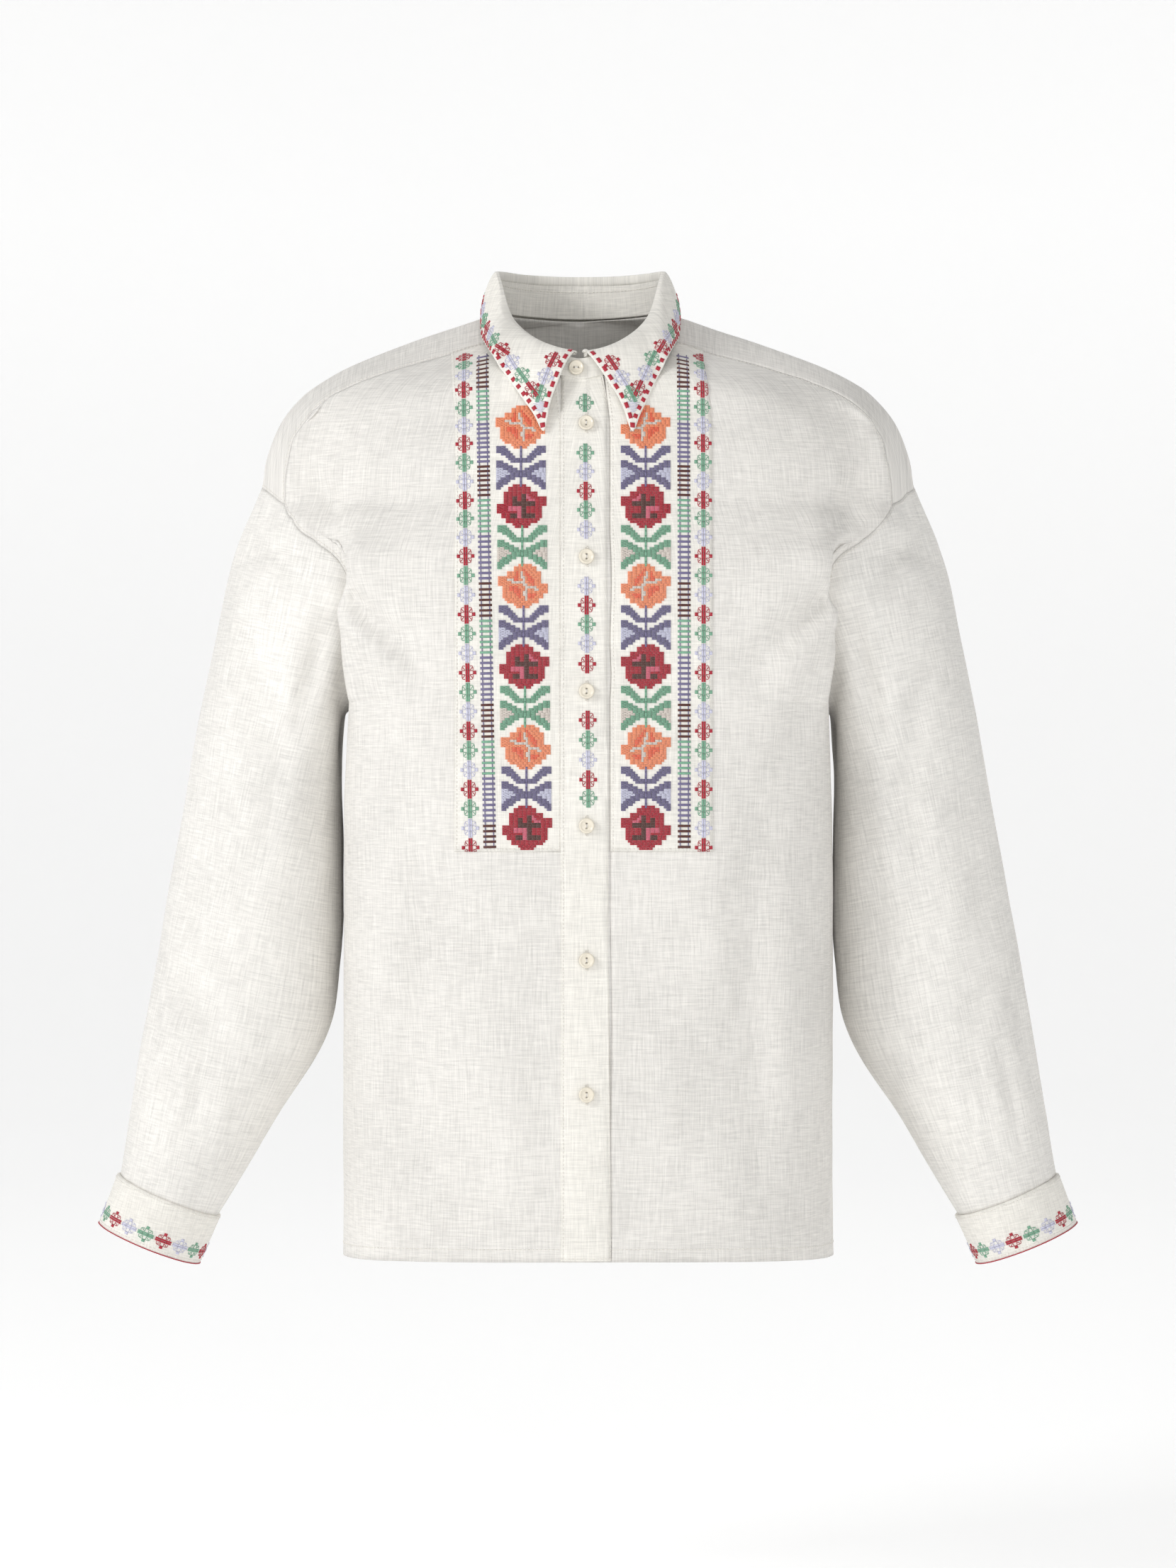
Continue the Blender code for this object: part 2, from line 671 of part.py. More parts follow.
def make_body():
    """Fronts, back, yoke, sleeves and cuffs, cut from one form along their seams."""
    right_columns = (-UNDER_EDGE, 0.0, -BAND_LEFT, 0.0420, NECK_JOIN, BIB_OUTER_RIGHT_FRONT)
    left_columns = (RIGHT_EDGE, 0.0420, NECK_JOIN, BIB_OUTER_LEFT_FRONT)
    right = front_grid(right_columns, BIB_OUTER_RIGHT_FRONT)
    left = front_grid(left_columns, BIB_OUTER_LEFT_FRONT)
    yokes = [yoke_grid(outer) for outer in (BIB_OUTER_RIGHT_FRONT, BIB_OUTER_LEFT_FRONT)]
    backs = [back_grid(outer) for outer in (BIB_OUTER_RIGHT_FRONT, BIB_OUTER_LEFT_FRONT)]
    loops = [armhole_loop(*parts) for parts in zip((right, left), yokes, backs)]
    tubes = [sleeve_grid(loop) for loop in loops]
    cuffs = [cuff_grid(tube[0]) for tube in tubes]

    sheets = {
        "front_right": grid_mesh(mirrored(right)),
        "front_left": grid_mesh(left),
        "back": joined(grid_mesh(backs[1][:, ::-1]), grid_mesh(backs[0] * (-1, 1, 1))),
        "yoke": joined(grid_mesh(yokes[1]), grid_mesh(mirrored(yokes[0]))),
        "sleeve_right": grid_mesh(tubes[0] * (-1, 1, 1), closed=True),
        "sleeve_left": grid_mesh(tubes[1][:, ::-1], closed=True),
        "cuff_right": grid_mesh(cuffs[0] * (-1, 1, 1), closed=True),
        "cuff_left": grid_mesh(cuffs[1][:, ::-1], closed=True),
    }
    names = list(sheets)
    normals = form_normals([sheets[name] for name in names])
    for name, own in zip(names, normals):
        points, faces = sheets[name]
        sheets[name] = folded(points, own), faces
    normals = dict(zip(names, form_normals([sheets[name] for name in names])))
    for name in names:
        points, faces = sheets[name]
        gap = ARMHOLE_GAP if name.startswith("sleeve") else SEAM_GAP
        cloth = drawn_in(points, faces, normals[name], gap)
        if name.startswith("cuff"):
            wall(name, cloth, faces, normals[name], CUFF_PROUD, CUFF_PROUD - CUFF_CLOTH, "double_linen")
        else:
            wall(name, cloth, faces, normals[name], 0.0, -CLOTH, "linen")
    return sheets, normals, (right.shape, left.shape)


def make_bibs(sheets, normals, shapes):
    """The doubled panels lie on the fronts' own points, moved out."""
    first_row = BODY_ROWS - 1
    for name, front, shape, start, stop in (
        ("bib_right", "front_right", shapes[0], 2, 5),
        ("bib_left", "front_left", shapes[1], 0, 3),
    ):
        rows, columns = shape[:2]
        if name == "bib_right":
            chosen = slice(columns - 1 - stop, columns - start)
        else:
            chosen = slice(start, stop + 1)
        points = sheets[front][0].reshape(rows, columns, 3)[first_row:, chosen]
        own = normals[front].reshape(rows, columns, 3)[first_row:, chosen].reshape(-1, 3)
        flat, faces = grid_mesh(points)
        cloth = drawn_in(flat, faces, own, BIB_INSET)
        wall(name, cloth, faces, own, LAY_GAP + BIB_CLOTH, LAY_GAP, "double_linen")


def make_placket(sheets, shape):
    """The band lies over both fronts, with its rows at the right front's own heights."""
    rows, columns = shape[:2]
    inner = sheets["front_right"][0].reshape(rows, columns, 3)[:, columns - 2]
    across = (BAND_LEFT + 0.0002, 0.0, BAND_RIGHT)
    grid = np.array([[front_point(x, z) for x in across] for z in inner[:, 2]])
    grid[-1] = [front_point(x, float(read(NECK_HEIGHT, "z", neck_turn(x)))) for x in across]
    own = np.array([[front_normal(p[0], p[2]) for p in row] for row in grid]).reshape(-1, 3)
    points, faces = grid_mesh(grid)
    cloth = drawn_in(points, faces, own, BAND_INSET)
    wall("placket", cloth, faces, own, LAY_GAP + BAND_CLOTH, LAY_GAP, "double_linen")


def fold_point(turn):
    """The collar's folded top edge."""
    angle = math.radians(turn)
    depth = FOLD_FRONT_DEPTH if turn < 90 else FOLD_BACK_DEPTH
    height = float(read(FOLD_HEIGHT, "z", turn))
    return np.array([FOLD_HALF * math.sin(angle), FOLD_MIDDLE - depth * math.cos(angle), height])


def make_stand():
    """A band from the neckline to the fold, its ends lapped at the front."""
    turns = [-14, -7, 0, *COLLAR_TURNS[1:]]
    turns += [360 - t for t in reversed(COLLAR_TURNS[1:-1])] + [360, 368, 376]
    rows = []
    for share in (0.0, 0.35, 0.7, 1.0):
        row = []
        for turn in turns:
            short = abs(turn) if turn <= 180 else abs(360 - turn)
            side = -1.0 if 0 < turn < 180 or turn > 360 else 1.0
            below = STAND_BELOW_FOLD + STAND_BELOW_FOLD_FRONT * (1 - float(ease(short, 5, 40)))
            low = neckline(short) + np.array([0.0, 0.0, STAND_LIFT])
            top = fold_point(short) - np.array([0.0, 0.0, below])
            point = low + (top - low) * share
            lap = STAND_LAP_IN + STAND_LAP_STEP * float(ease(turn, 322, 346))
            plan = np.array([point[0], point[1] - NECK_MIDDLE, 0.0])
            point = point + plan / np.linalg.norm(plan) * lap
            row.append(point * (side, 1, 1))
        rows.append(row)
    grid = np.array(rows)[:, ::-1]
    points, faces = grid_mesh(grid)
    own = sheet_normals(points, faces)
    wall("collar_stand", points, faces, own, STAND_CLOTH / 2, -STAND_CLOTH / 2, "double_linen")


def fall_edge(turn):
    """The collar's lower edge: on the fronts to the points, on the yoke further back."""
    lift = FALL_LIFT + FALL_LIFT_FRONT * (1 - float(ease(turn, 55, 80)))
    start = COLLAR_TURNS[0]
    if turn <= SEAM_TURN:
        side = yoke_point(COLLAR_REACH, 0.0)
        share = (turn - start) / (SEAM_TURN - start)
        if share > 0.9:
            return side + np.array([0.0, -0.6, 0.8]) * lift
        x = COLLAR_TIP[0] + (side[0] - COLLAR_TIP[0]) * share
        z = COLLAR_TIP[1] + (side[2] - COLLAR_TIP[1]) * share
        return front_point(x, z) + front_normal(x, z) * lift
    angle = math.radians(turn)
    reach = float(read(FALL_REACH, "out", turn))
    x, y = neck_plan(turn)
    s, row = yoke_at(x + reach * math.sin(angle), y - reach * math.cos(angle))
    point = yoke_point(s, row)
    across = yoke_point(s + 0.02, row) - point
    back = yoke_point(s, row + 0.02) - point
    normal = np.cross(across, back)
    return point + normal / np.linalg.norm(normal) * lift


def fall_grid():
    """Half of the fall: rows from its lower edge up over the fold, columns from front to back."""
    columns = []
    for turn in COLLAR_TURNS:
        top = fold_point(turn)
        plan = np.array([top[0], top[1] - NECK_MIDDLE, 0.0])
        out = plan / np.linalg.norm(plan)
        edge = fall_edge(turn)
        front = 1 - float(ease(turn, 20, 75))
        start = top + np.array([0.0, 0.0, FALL_ABOVE_FOLD])
        rise = np.array([0.0, 0.0, 0.006 + 0.010 * front])
        roll = FALL_ROLL_SIDE + (FALL_ROLL - FALL_ROLL_SIDE) * front
        over = start + out * roll + rise * 0.25
        under = edge + out * 0.003 + rise + (start - edge) * 0.25
        columns.append([bezier((start, over, under, edge), t) for t in FALL_STEPS])
    return np.array(columns).transpose(1, 0, 2)


def make_fall():
    half = fall_grid()
    whole = np.concatenate([half, mirrored(half)[:, 1:]], axis=1)
    points, faces = grid_mesh(whole)
    own = sheet_normals(points, faces)
    wall("collar_fall", points, faces, own, 0.0, -COLLAR_CLOTH, "double_linen")


def make_button(name, centre, normal):
    """A round button with a raised rim and a dished middle."""
    radius = BUTTON_ACROSS / 2
    shape = bmesh.new()
    bmesh.ops.create_cone(
        shape, cap_ends=True, segments=16, radius1=radius * 0.86, radius2=radius, depth=BUTTON_THICK
    )
    top = max(shape.faces, key=lambda face: face.calc_center_median().z if len(face.verts) > 4 else -1)
    for thickness, depth in ((radius * 0.20, 0.0), (radius * 0.14, -BUTTON_THICK * 0.25)):
        bmesh.ops.inset_region(shape, faces=[top], thickness=thickness, depth=depth)
    turn = Vector((0, 0, 1)).rotation_difference(Vector(normal)).to_matrix().to_4x4()
    place = Matrix.Translation(Vector(centre)) @ turn
    bmesh.ops.transform(shape, matrix=place, verts=list(shape.verts))
    mesh = bpy.data.meshes.new(name)
    shape.to_mesh(mesh)
    shape.free()
    mesh.shade_smooth()
    mesh.set_sharp_from_angle(angle=math.radians(35))
    placed(name, mesh, "button")


def make_buttons():
    on_stand = STAND_LIFT + 0.0008 + STAND_CLOTH / 2 + SEAM_GAP + BUTTON_THICK / 2
    on_band = LAY_GAP + BAND_CLOTH + 2 * SEAM_GAP + BUTTON_THICK / 2
    x, z = NECK_BUTTON
    depth = (neckline(3)[1] * 0.55) + (fold_point(3)[1] * 0.45)
    normal = np.array([0.0, -0.97, 0.24])
    centre = np.array([x, depth, z]) + normal * on_stand
    make_button("button_1", settled(centre[None])[0], normal)
    for number in range(6):
        height = SECOND_BUTTON - BUTTON_PITCH * number
        normal = front_normal(BUTTON_LINE, height)
        centre = front_point(BUTTON_LINE, height) + normal * on_band
        make_button(f"button_{number + 2}", settled(centre[None])[0], normal)


def clear_scene():
    for item in list(bpy.data.objects):
        bpy.data.objects.remove(item, do_unlink=True)


def main():
    clear_scene()
    sheets, normals, shapes = make_body()
    make_bibs(sheets, normals, shapes)
    make_placket(sheets, shapes[0])
    make_stand()
    make_fall()
    make_buttons()


main()
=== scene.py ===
"""Embroidered linen shirt, dressed: creased cloth, sewing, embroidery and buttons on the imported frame."""

import math

import bmesh
import bpy
import numpy as np
from mathutils import Matrix, Vector, noise
from mathutils.bvhtree import BVHTree
from mathutils.kdtree import KDTree


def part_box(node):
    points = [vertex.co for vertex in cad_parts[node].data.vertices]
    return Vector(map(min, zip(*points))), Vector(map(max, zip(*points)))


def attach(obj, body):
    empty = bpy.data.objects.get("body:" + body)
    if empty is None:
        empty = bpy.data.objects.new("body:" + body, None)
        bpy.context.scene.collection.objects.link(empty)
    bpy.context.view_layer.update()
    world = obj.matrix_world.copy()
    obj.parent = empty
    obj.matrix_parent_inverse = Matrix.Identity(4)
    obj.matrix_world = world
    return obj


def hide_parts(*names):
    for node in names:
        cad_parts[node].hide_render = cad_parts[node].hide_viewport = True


bl_info = {
    "name": "Embroidered linen shirt",
    "version": (1, 0, 0),
    "blender": (4, 5, 0),
    "location": "3D View > Sidebar > Shirt",
    "description": "Dresses the packed shirt with cloth, sewing and embroidery",
    "category": "Object",
}

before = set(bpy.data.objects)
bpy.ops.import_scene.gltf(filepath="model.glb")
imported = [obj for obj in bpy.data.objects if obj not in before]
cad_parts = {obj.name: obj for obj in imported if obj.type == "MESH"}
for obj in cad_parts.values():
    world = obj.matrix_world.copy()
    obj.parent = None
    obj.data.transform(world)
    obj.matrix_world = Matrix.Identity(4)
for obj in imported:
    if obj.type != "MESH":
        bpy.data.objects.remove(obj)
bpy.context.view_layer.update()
BODY = "root"
SEWN = ("front_right", "front_left", "back", "yoke", "sleeve_right", "sleeve_left")

# The picture's view: the camera's distance, height and the metres that a pixel covers at the body's middle
CAMERA_AWAY = 3.2
CAMERA_HEIGHT = -0.356
PICTURE = (1659, 2212)
PIXEL = 0.00056

# Thicknesses, seams and grids
CLOTH_THICKNESS = 0.0009
DOUBLE_THICKNESS = 0.0014
BIB_LIFT = 0.0008
PLACKET_LIFT = 0.0011
PLACKET_EDGE = 0.0003
PLACKET_GRID = (12, 420)
SEAM_DEPTH = 0.0004
SEAM_INSET = 0.00005
SLEEVE_RADIUS = 0.062
SLEEVE_AXIS = ((0.222, 0.0, -0.20), (0.338, 0.0, -0.70))
FLOOR = -1.02
STAGE_FLAT = 4.5
STAGE_HEIGHT = 3.2
STAGE_GLOW = 0.42
CUFF_LEVEL = -0.64
RIM_TURNS = {"collar_fall": math.radians(62)}
BODY_EDGE = 0.2
COLLAR_CENTRE = (-0.005, -0.009)
FOLD_OVER = ((0.0010, -0.0002), (0.0010, 0.0004), (0.0006, 0.0020), (-0.0004, 0.0035), (-0.0018, 0.0025))
STAND_STITCH = 0.0395
SLEEVE_TUCK = ((0.0050, 0.0016),)
CUFF_ROLL = ((0.0004, 0.0005), (0.0004, 0.0012), (0.0000, 0.0016))

# Places on the fronts, in metres
HEM_BAND = 0.0100
BAND_LEFT, BAND_RIGHT = -0.0197, 0.0176
BIB_RIGHT_OUTER, BIB_LEFT_OUTER = -0.1018, 0.0948
BIB_BOTTOM = -0.4074
MAIN_BANDS = (-0.0490, 0.0440)
LADDERS = (-0.0777, 0.0732)
CHAINS = (-0.0923, 0.0880)
FLOWER_TOP = -0.0828
FLOWER_PITCH = 0.0613
CHAIN_TOP = -0.0155
CHAIN_PITCH = 0.0148
CHAIN_COUNT = 28
COLLAR_PITCH = 0.0146
COLLAR_ROW = 0.0105
COLLAR_FRONT_FIRST = 0.0240
COLLAR_EDGE = 0.0030
SQUARE_PITCH = 0.0074
BLOCK_PITCH = 0.0084
BLOCK_RISE = 0.0006
CUFF_PITCH = 0.0139
WHIP_PITCH = 0.0012
BIB_STITCH = 0.0020
PLACKET_STITCH = 0.0018
SEAM_STITCH = 0.0022
HOLE_HALF = 0.0077
MOTIF_LINE, MOTIF_ROW, MOTIF_SPAN, MOTIF_DRIFT = 825.0, 565.0, 561.0, 5.0
RUNG_PITCH = 0.00401
RUNG_PITCH_CLOSE = 0.00366
RUNGS_CLOSE = -0.1357
LEAN = (-0.018, 0.0)
LEAN_MIDDLE = -0.236
CROSS = 0.00188
STITCH_ROWS = 2
STEM = 0.0019
BUTTON_LINE = -0.0010
BUTTON_THICK = 0.0026
SATIN_HEIGHT = 0.0005
THREAD_LIFT = 0.0001
FLOWER_WIDTH = 0.0380
LADDER_TOP = -0.0224
CHAIN_BOTTOM = -0.4044
COLLAR_FIRST = 0.0300
SQUARE_FIRST = 0.0110
CUFF_ROW = 0.0110
FRONT_PIXEL = 0.00053988
PLACKET_MOTIFS = (
    (565, "G"), (637.5, "G"), (664, "L"), (692, "R"), (719, "G"), (747, "L"), (827, "L"), (854, "R"),
    (881, "G"), (908, "L"), (937, "R"), (1016, "R"), (1044, "G"), (1072, "L"), (1100, "R"), (1126, "G"),
)

# Creases: two ends on the cloth, how far the middle bends aside, width, and depth (a ridge below 0)
CREASES = {
    "start": (
        (0.216, -0.078, -0.150), (0.200, -0.082, -0.178), (0.186, -0.085, -0.205), (0.226, -0.062, -0.110),
        (0.180, -0.085, -0.245), (0.150, -0.112, -0.330), (0.120, -0.122, -0.440), (0.075, -0.122, -0.520),
        (0.160, 0.110, -0.230), (0.120, 0.124, -0.420), (0.040, 0.124, -0.360), (0.195, 0.090, -0.190),
        (0.205, -0.080, -0.215), (0.232, -0.078, -0.200), (0.285, -0.060, -0.230), (0.262, 0.080, -0.250),
        (0.335, -0.055, -0.500), (0.345, 0.050, -0.560), (0.240, -0.070, -0.330), (0.330, -0.052, -0.420),
        (0.340, -0.045, -0.640), (0.318, -0.045, -0.645), (0.300, -0.042, -0.650), (0.360, -0.020, -0.610),
        (0.060, 0.120, -0.140), (0.225, 0.070, -0.230), (0.300, 0.060, -0.400), (0.178, 0.050, -0.420),
    ),
    "end": (
        (0.172, -0.096, -0.214), (0.152, -0.104, -0.246), (0.128, -0.114, -0.272), (0.180, -0.088, -0.176),
        (0.150, -0.110, -0.340), (0.128, -0.120, -0.540), (0.138, -0.116, -0.700), (0.062, -0.122, -0.700),
        (0.110, 0.125, -0.330), (0.135, 0.118, -0.700), (0.055, 0.122, -0.690), (0.140, 0.116, -0.255),
        (0.230, -0.074, -0.330), (0.290, -0.065, -0.160), (0.250, -0.064, -0.350), (0.300, 0.055, -0.190),
        (0.290, -0.050, -0.560), (0.290, 0.045, -0.600), (0.268, -0.060, -0.440), (0.300, -0.055, -0.480),
        (0.326, -0.054, -0.555), (0.302, -0.054, -0.560), (0.290, -0.050, -0.575), (0.342, -0.036, -0.505),
        (0.075, 0.122, -0.270), (0.272, 0.072, -0.320), (0.262, 0.060, -0.500), (0.184, 0.055, -0.700),
    ),
    "bend": (
        0.006, -0.005, 0.006, 0.004, -0.005, 0.006, -0.010, 0.006,
        0.006, -0.010, 0.008, 0.006, 0.007, -0.008, 0.006, 0.008,
        0.006, -0.006, 0.006, -0.006, 0.003, -0.003, 0.003, 0.005,
        -0.006, 0.006, 0.006, -0.006,
    ),
    "width": (
        0.0085, 0.0075, 0.010, 0.009, 0.011, 0.016, 0.020, 0.016,
        0.014, 0.022, 0.020, 0.010, 0.008, 0.009, 0.012, 0.014,
        0.012, 0.013, 0.010, 0.012, 0.006, 0.006, 0.006, 0.009,
        0.014, 0.010, 0.013, 0.018,
    ),
    "depth": (
        0.0047, 0.0053, 0.0040, 0.0028, 0.0031, 0.0025, 0.0037, -0.0022,
        0.0040, 0.0053, 0.0040, 0.0031, 0.0034, 0.0037, 0.0043, 0.0047,
        0.0031, 0.0037, 0.0028, 0.0025, 0.0019, 0.0020, 0.0017, 0.0022,
        0.0031, 0.0034, 0.0031, 0.0034,
    ),
}

# The small motif's open netting, one side and one end of it, in millimetres
NETTING = (
    ((4.3, 0.0), (4.3, 1.6)), ((4.3, 1.6), (4.2, 4.4)), ((4.2, 4.4), (3.4, 5.2)),
    ((3.4, 5.2), (1.8, 5.0)), ((1.8, 1.5), (4.3, 1.5)), ((1.8, 1.6), (4.1, 4.6)),
)

# Thread colours by letter, as linear values
THREADS = {
    "R": (0.420, 0.006, 0.026),
    "G": (0.185, 0.400, 0.270),
    "L": (0.600, 0.600, 0.740),
    "O": (0.930, 0.300, 0.150),
    "o": (0.830, 0.150, 0.075),
    "P": (0.165, 0.145, 0.270),
    "B": (0.085, 0.018, 0.012),
    "K": (0.660, 0.130, 0.200),
    "W": (0.720, 0.650, 0.590),
    "T": (0.800, 0.770, 0.710),
}
NAMES = {
    "R": "red", "G": "green", "L": "lavender", "O": "orange", "o": "coral",
    "P": "purple", "B": "brown", "K": "pink", "W": "beige", "T": "linen",
}

# Cross-stitch charts, drawn for this shirt: one letter a stitch, a dot for bare cloth
OPEN_ROSE = (
    ".........OOOOOO.......",
    ".......OOOOOOOOOO.....",
    ".......OOOOoOOOOO.....",
    "....OOOOoOWOoOOOOOO...",
    "....OOOOoOWOooOOOOO...",
    "OOOOOOOooOWWOooOOOO...",
    "OOOOWWWooOOWOoooOOO...",
    "OOOOOOWWWWWWOOooOOO...",
    "OOOOOOOOOOOWWOOoOOOOOO",
    "..OOOooooOOOWWWWWOOOOO",
    "..OOOoooooOOWOOOWWOOOO",
    "..OOOOOoooOWWOOOOOOOOO",
    "..OOOOOOooOWWooooOOO..",
    "..OOOOOOOoOOWoooOOOO..",
    "...OOOOOOOOOWOOOOO....",
    "....OOOOOOOOOOOOOO....",
    ".......OOOOOOOO.......",
    "........OOOOOO........",
)
CLOSED_ROSE = (
    ".......RRRRRR.........",
    ".....RRRRRRRRRR.......",
    ".....RRRRRRRRRR.......",
    "...RRRRRRRRRRRRRRR....",
    "...RRRRRRRRBBKRRRR....",
    "...RRRRBBRRBBKKRRRRRRR",
    "...RRRRBBRRBBRKKKRRRRR",
    "...RRRRBBBBBBBBBBRRRRR",
    "RRRRRRRBBBBBBBBBBRRRRR",
    "RRRRRKKKKKKBBRRRRRRR..",
    "RRRRRKKKKKKBBRRRRRRR..",
    "RRRRRRRRRKKBBRRRRRRR..",
    "..RRRRBBBKKBBBBBBRRR..",
    "..RRRRBBBKKBBBBBBRRR..",
    "....RRRRRRRRRRRRRRR...",
    "....RRRRRRRRRRRRRR....",
    ".......RRRRRRRR.......",
    "........RRRRRR........",
)
HALF_LEAVES = (
    "..........",
    "SSSS......",
    "SSSSS.....",
    "SSSSSS....",
    "..SSSSS...",
    "....SSSS..",
    ".....SSSSS",
    "SSS...SSSS",
    "SSSSS.....",
    "SSSSSSS...",
    "fffSSSSSS.",
    "fffffSSSSS",
    "ffffffSSSS",
    "ffffSSSSSS",
    "ffSSSSSS..",
    "fSSSSS....",
    "SSSSS.....",
    "SSS.......",
    "SS........",
)
LEAVES = tuple(half + "." + half[::-1] for half in HALF_LEAVES)

# Meshes and search trees that a later step needs, by name
made = {}


class Wire:
    """A socket in a material, so that sums on it read as plain expressions."""

    def __init__(self, finish, socket):
        self.finish = finish
        self.socket = socket

    def maths(self, operation, first, second):
        return self.finish.node("ShaderNodeMath", {"operation": operation}, {0: first, 1: second})

    def __add__(self, other):
        return self.maths("ADD", self, other)

    def __radd__(self, other):
        return self.maths("ADD", other, self)

    def __sub__(self, other):
        return self.maths("SUBTRACT", self, other)

    def __rsub__(self, other):
        return self.maths("SUBTRACT", other, self)

    def __mul__(self, other):
        return self.maths("MULTIPLY", self, other)

    def __rmul__(self, other):
        return self.maths("MULTIPLY", other, self)


class Finish:
    """A material, with one method that adds any node."""

    def __init__(self, name, roughness, sheen=0.0, coat=0.0):
        self.material = bpy.data.materials.new(name)
        self.material.use_nodes = True
        self.tree = self.material.node_tree
        self.shader = self.tree.nodes["Principled BSDF"]
        self.shader.inputs["Roughness"].default_value = roughness
        self.shader.inputs["Sheen Weight"].default_value = sheen
        self.shader.inputs["Coat Weight"].default_value = coat
        self.shader.inputs["Metallic"].default_value = 0.0

    def join(self, socket, value):
        if isinstance(value, Wire):
            self.tree.links.new(value.socket, socket)
        else:
            socket.default_value = value

    def node(self, kind, settings=None, inputs=None, output=0):
        made = self.tree.nodes.new(kind)
        for key, value in (settings or {}).items():
            setattr(made, key, value)
        for key, value in (inputs or {}).items():
            self.join(made.inputs[key], value)
        return Wire(self, made.outputs[output])

    def grain(self, place, stretch, detail=2.0, rough=0.5):
        """Noise on a place that is stretched first, in features a metre."""
        stretched = self.node(
            "ShaderNodeVectorMath", {"operation": "MULTIPLY"}, {0: place, 1: stretch}
        )
        return self.node(
            "ShaderNodeTexNoise",
            {},
            {"Vector": stretched, "Scale": 1.0, "Detail": detail, "Roughness": rough},
        )

    def mixed(self, share, first, second):
        made = self.tree.nodes.new("ShaderNodeMix")
        made.data_type = "RGBA"
        made.clamp_factor = True
        self.join(made.inputs[0], share)
        self.join(made.inputs[6], first)
        self.join(made.inputs[7], second)
        return Wire(self, made.outputs[2])

    def show(self, colour, height=None, strength=0.5, distance=0.0002):
        self.join(self.shader.inputs["Base Color"], colour)
        if height is not None:
            bump = self.node(
                "ShaderNodeBump", {}, {"Height": height, "Strength": strength, "Distance": distance}
            )
            self.join(self.shader.inputs["Normal"], bump)
        return self.material


def shade(colour, share):
    return tuple(min(c * share, 1.0) for c in colour[:3]) + (1.0,)


def linen_finish(name, colour, slub=1.0):
    """Plain-woven linen: fine threads both ways, with thicker slubs and a soft unevenness."""
    finish = Finish(name, 0.88, sheen=0.12)
    cloth = finish.node("ShaderNodeUVMap", {"uv_map": "cloth"})
    weft = finish.grain(cloth, (70.0, 1150.0, 1.0), 3.0, 0.6)
    warp = finish.grain(cloth, (1150.0, 55.0, 1.0), 3.0, 0.6)
    slubs = finish.grain(cloth, (38.0, 620.0, 1.0), 1.0)
    uprights = finish.grain(cloth, (620.0, 30.0, 1.0), 1.0)
    cloudy = finish.grain(cloth, (9.0, 9.0, 1.0), 2.0)
    weave = (weft + warp) * 0.5 + (slubs + uprights) * 0.35 * slub
    tone = (weave - 0.5 - 0.35 * slub) * 2.8 + (cloudy - 0.5) * 0.9 + 0.55
    tinted = finish.mixed(tone, shade(colour, 0.80), shade(colour, 1.08))
    return finish.show(tinted, weave, strength=0.6, distance=0.0006)


def thread_finish(name, colour):
    """Soft embroidery thread with a slight lustre."""
    finish = Finish(name, 0.5, sheen=0.2)
    place = finish.node("ShaderNodeTexCoord", output=3)
    strands = finish.grain(place, (700.0, 700.0, 2300.0), 2.0)
    tinted = finish.mixed(strands * 1.6 - 0.3, shade(colour, 0.72), shade(colour, 1.18))
    return finish.show(tinted, strands, strength=0.4, distance=0.0003)


def button_finish(colour):
    """Cast ivory button with faint clouds and polish."""
    finish = Finish("button_ivory", 0.32, coat=0.25)
    place = finish.node("ShaderNodeTexCoord", output=3)
    clouds = finish.grain(place, (260.0, 260.0, 420.0), 3.0)
    tinted = finish.mixed(clouds * 1.5 - 0.25, shade(colour, 0.93), shade(colour, 1.04))
    return finish.show(tinted, clouds, strength=0.05, distance=0.0002)


def stage_finish(colour):
    finish = Finish("pale_floor", 0.9)
    place = finish.node("ShaderNodeTexCoord", output=3)
    cloudy = finish.grain(place, (3.0, 3.0, 3.0), 2.0)
    finish.shader.inputs["Emission Color"].default_value = (1.0, 1.0, 1.0, 1.0)
    finish.shader.inputs["Emission Strength"].default_value = STAGE_GLOW
    return finish.show(finish.mixed(cloudy, shade(colour, 0.985), shade(colour, 1.0)))


def surface_points(mesh):
    points = np.zeros(len(mesh.vertices) * 3)
    mesh.vertices.foreach_get("co", points)
    return points.reshape(-1, 3)


def put_points(mesh, points):
    mesh.vertices.foreach_set("co", np.ascontiguousarray(points, np.float32).ravel())
    mesh.update()


def surface_normals(mesh):
    normals = np.zeros(len(mesh.vertices) * 3)
    mesh.vertex_normals.foreach_get("vector", normals)
    return normals.reshape(-1, 3)


def as_mesh(shape, name):
    mesh = bpy.data.meshes.new(name)
    shape.to_mesh(mesh)
    shape.free()
    return mesh


def as_piece(mesh, name, materials):
    """An object at the origin that rides on the shirt's one body."""
    for material in materials:
        mesh.materials.append(material)
    mesh.shade_smooth()
    piece = bpy.data.objects.new(name, mesh)
    bpy.context.scene.collection.objects.link(piece)
    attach(piece, BODY)
    return piece


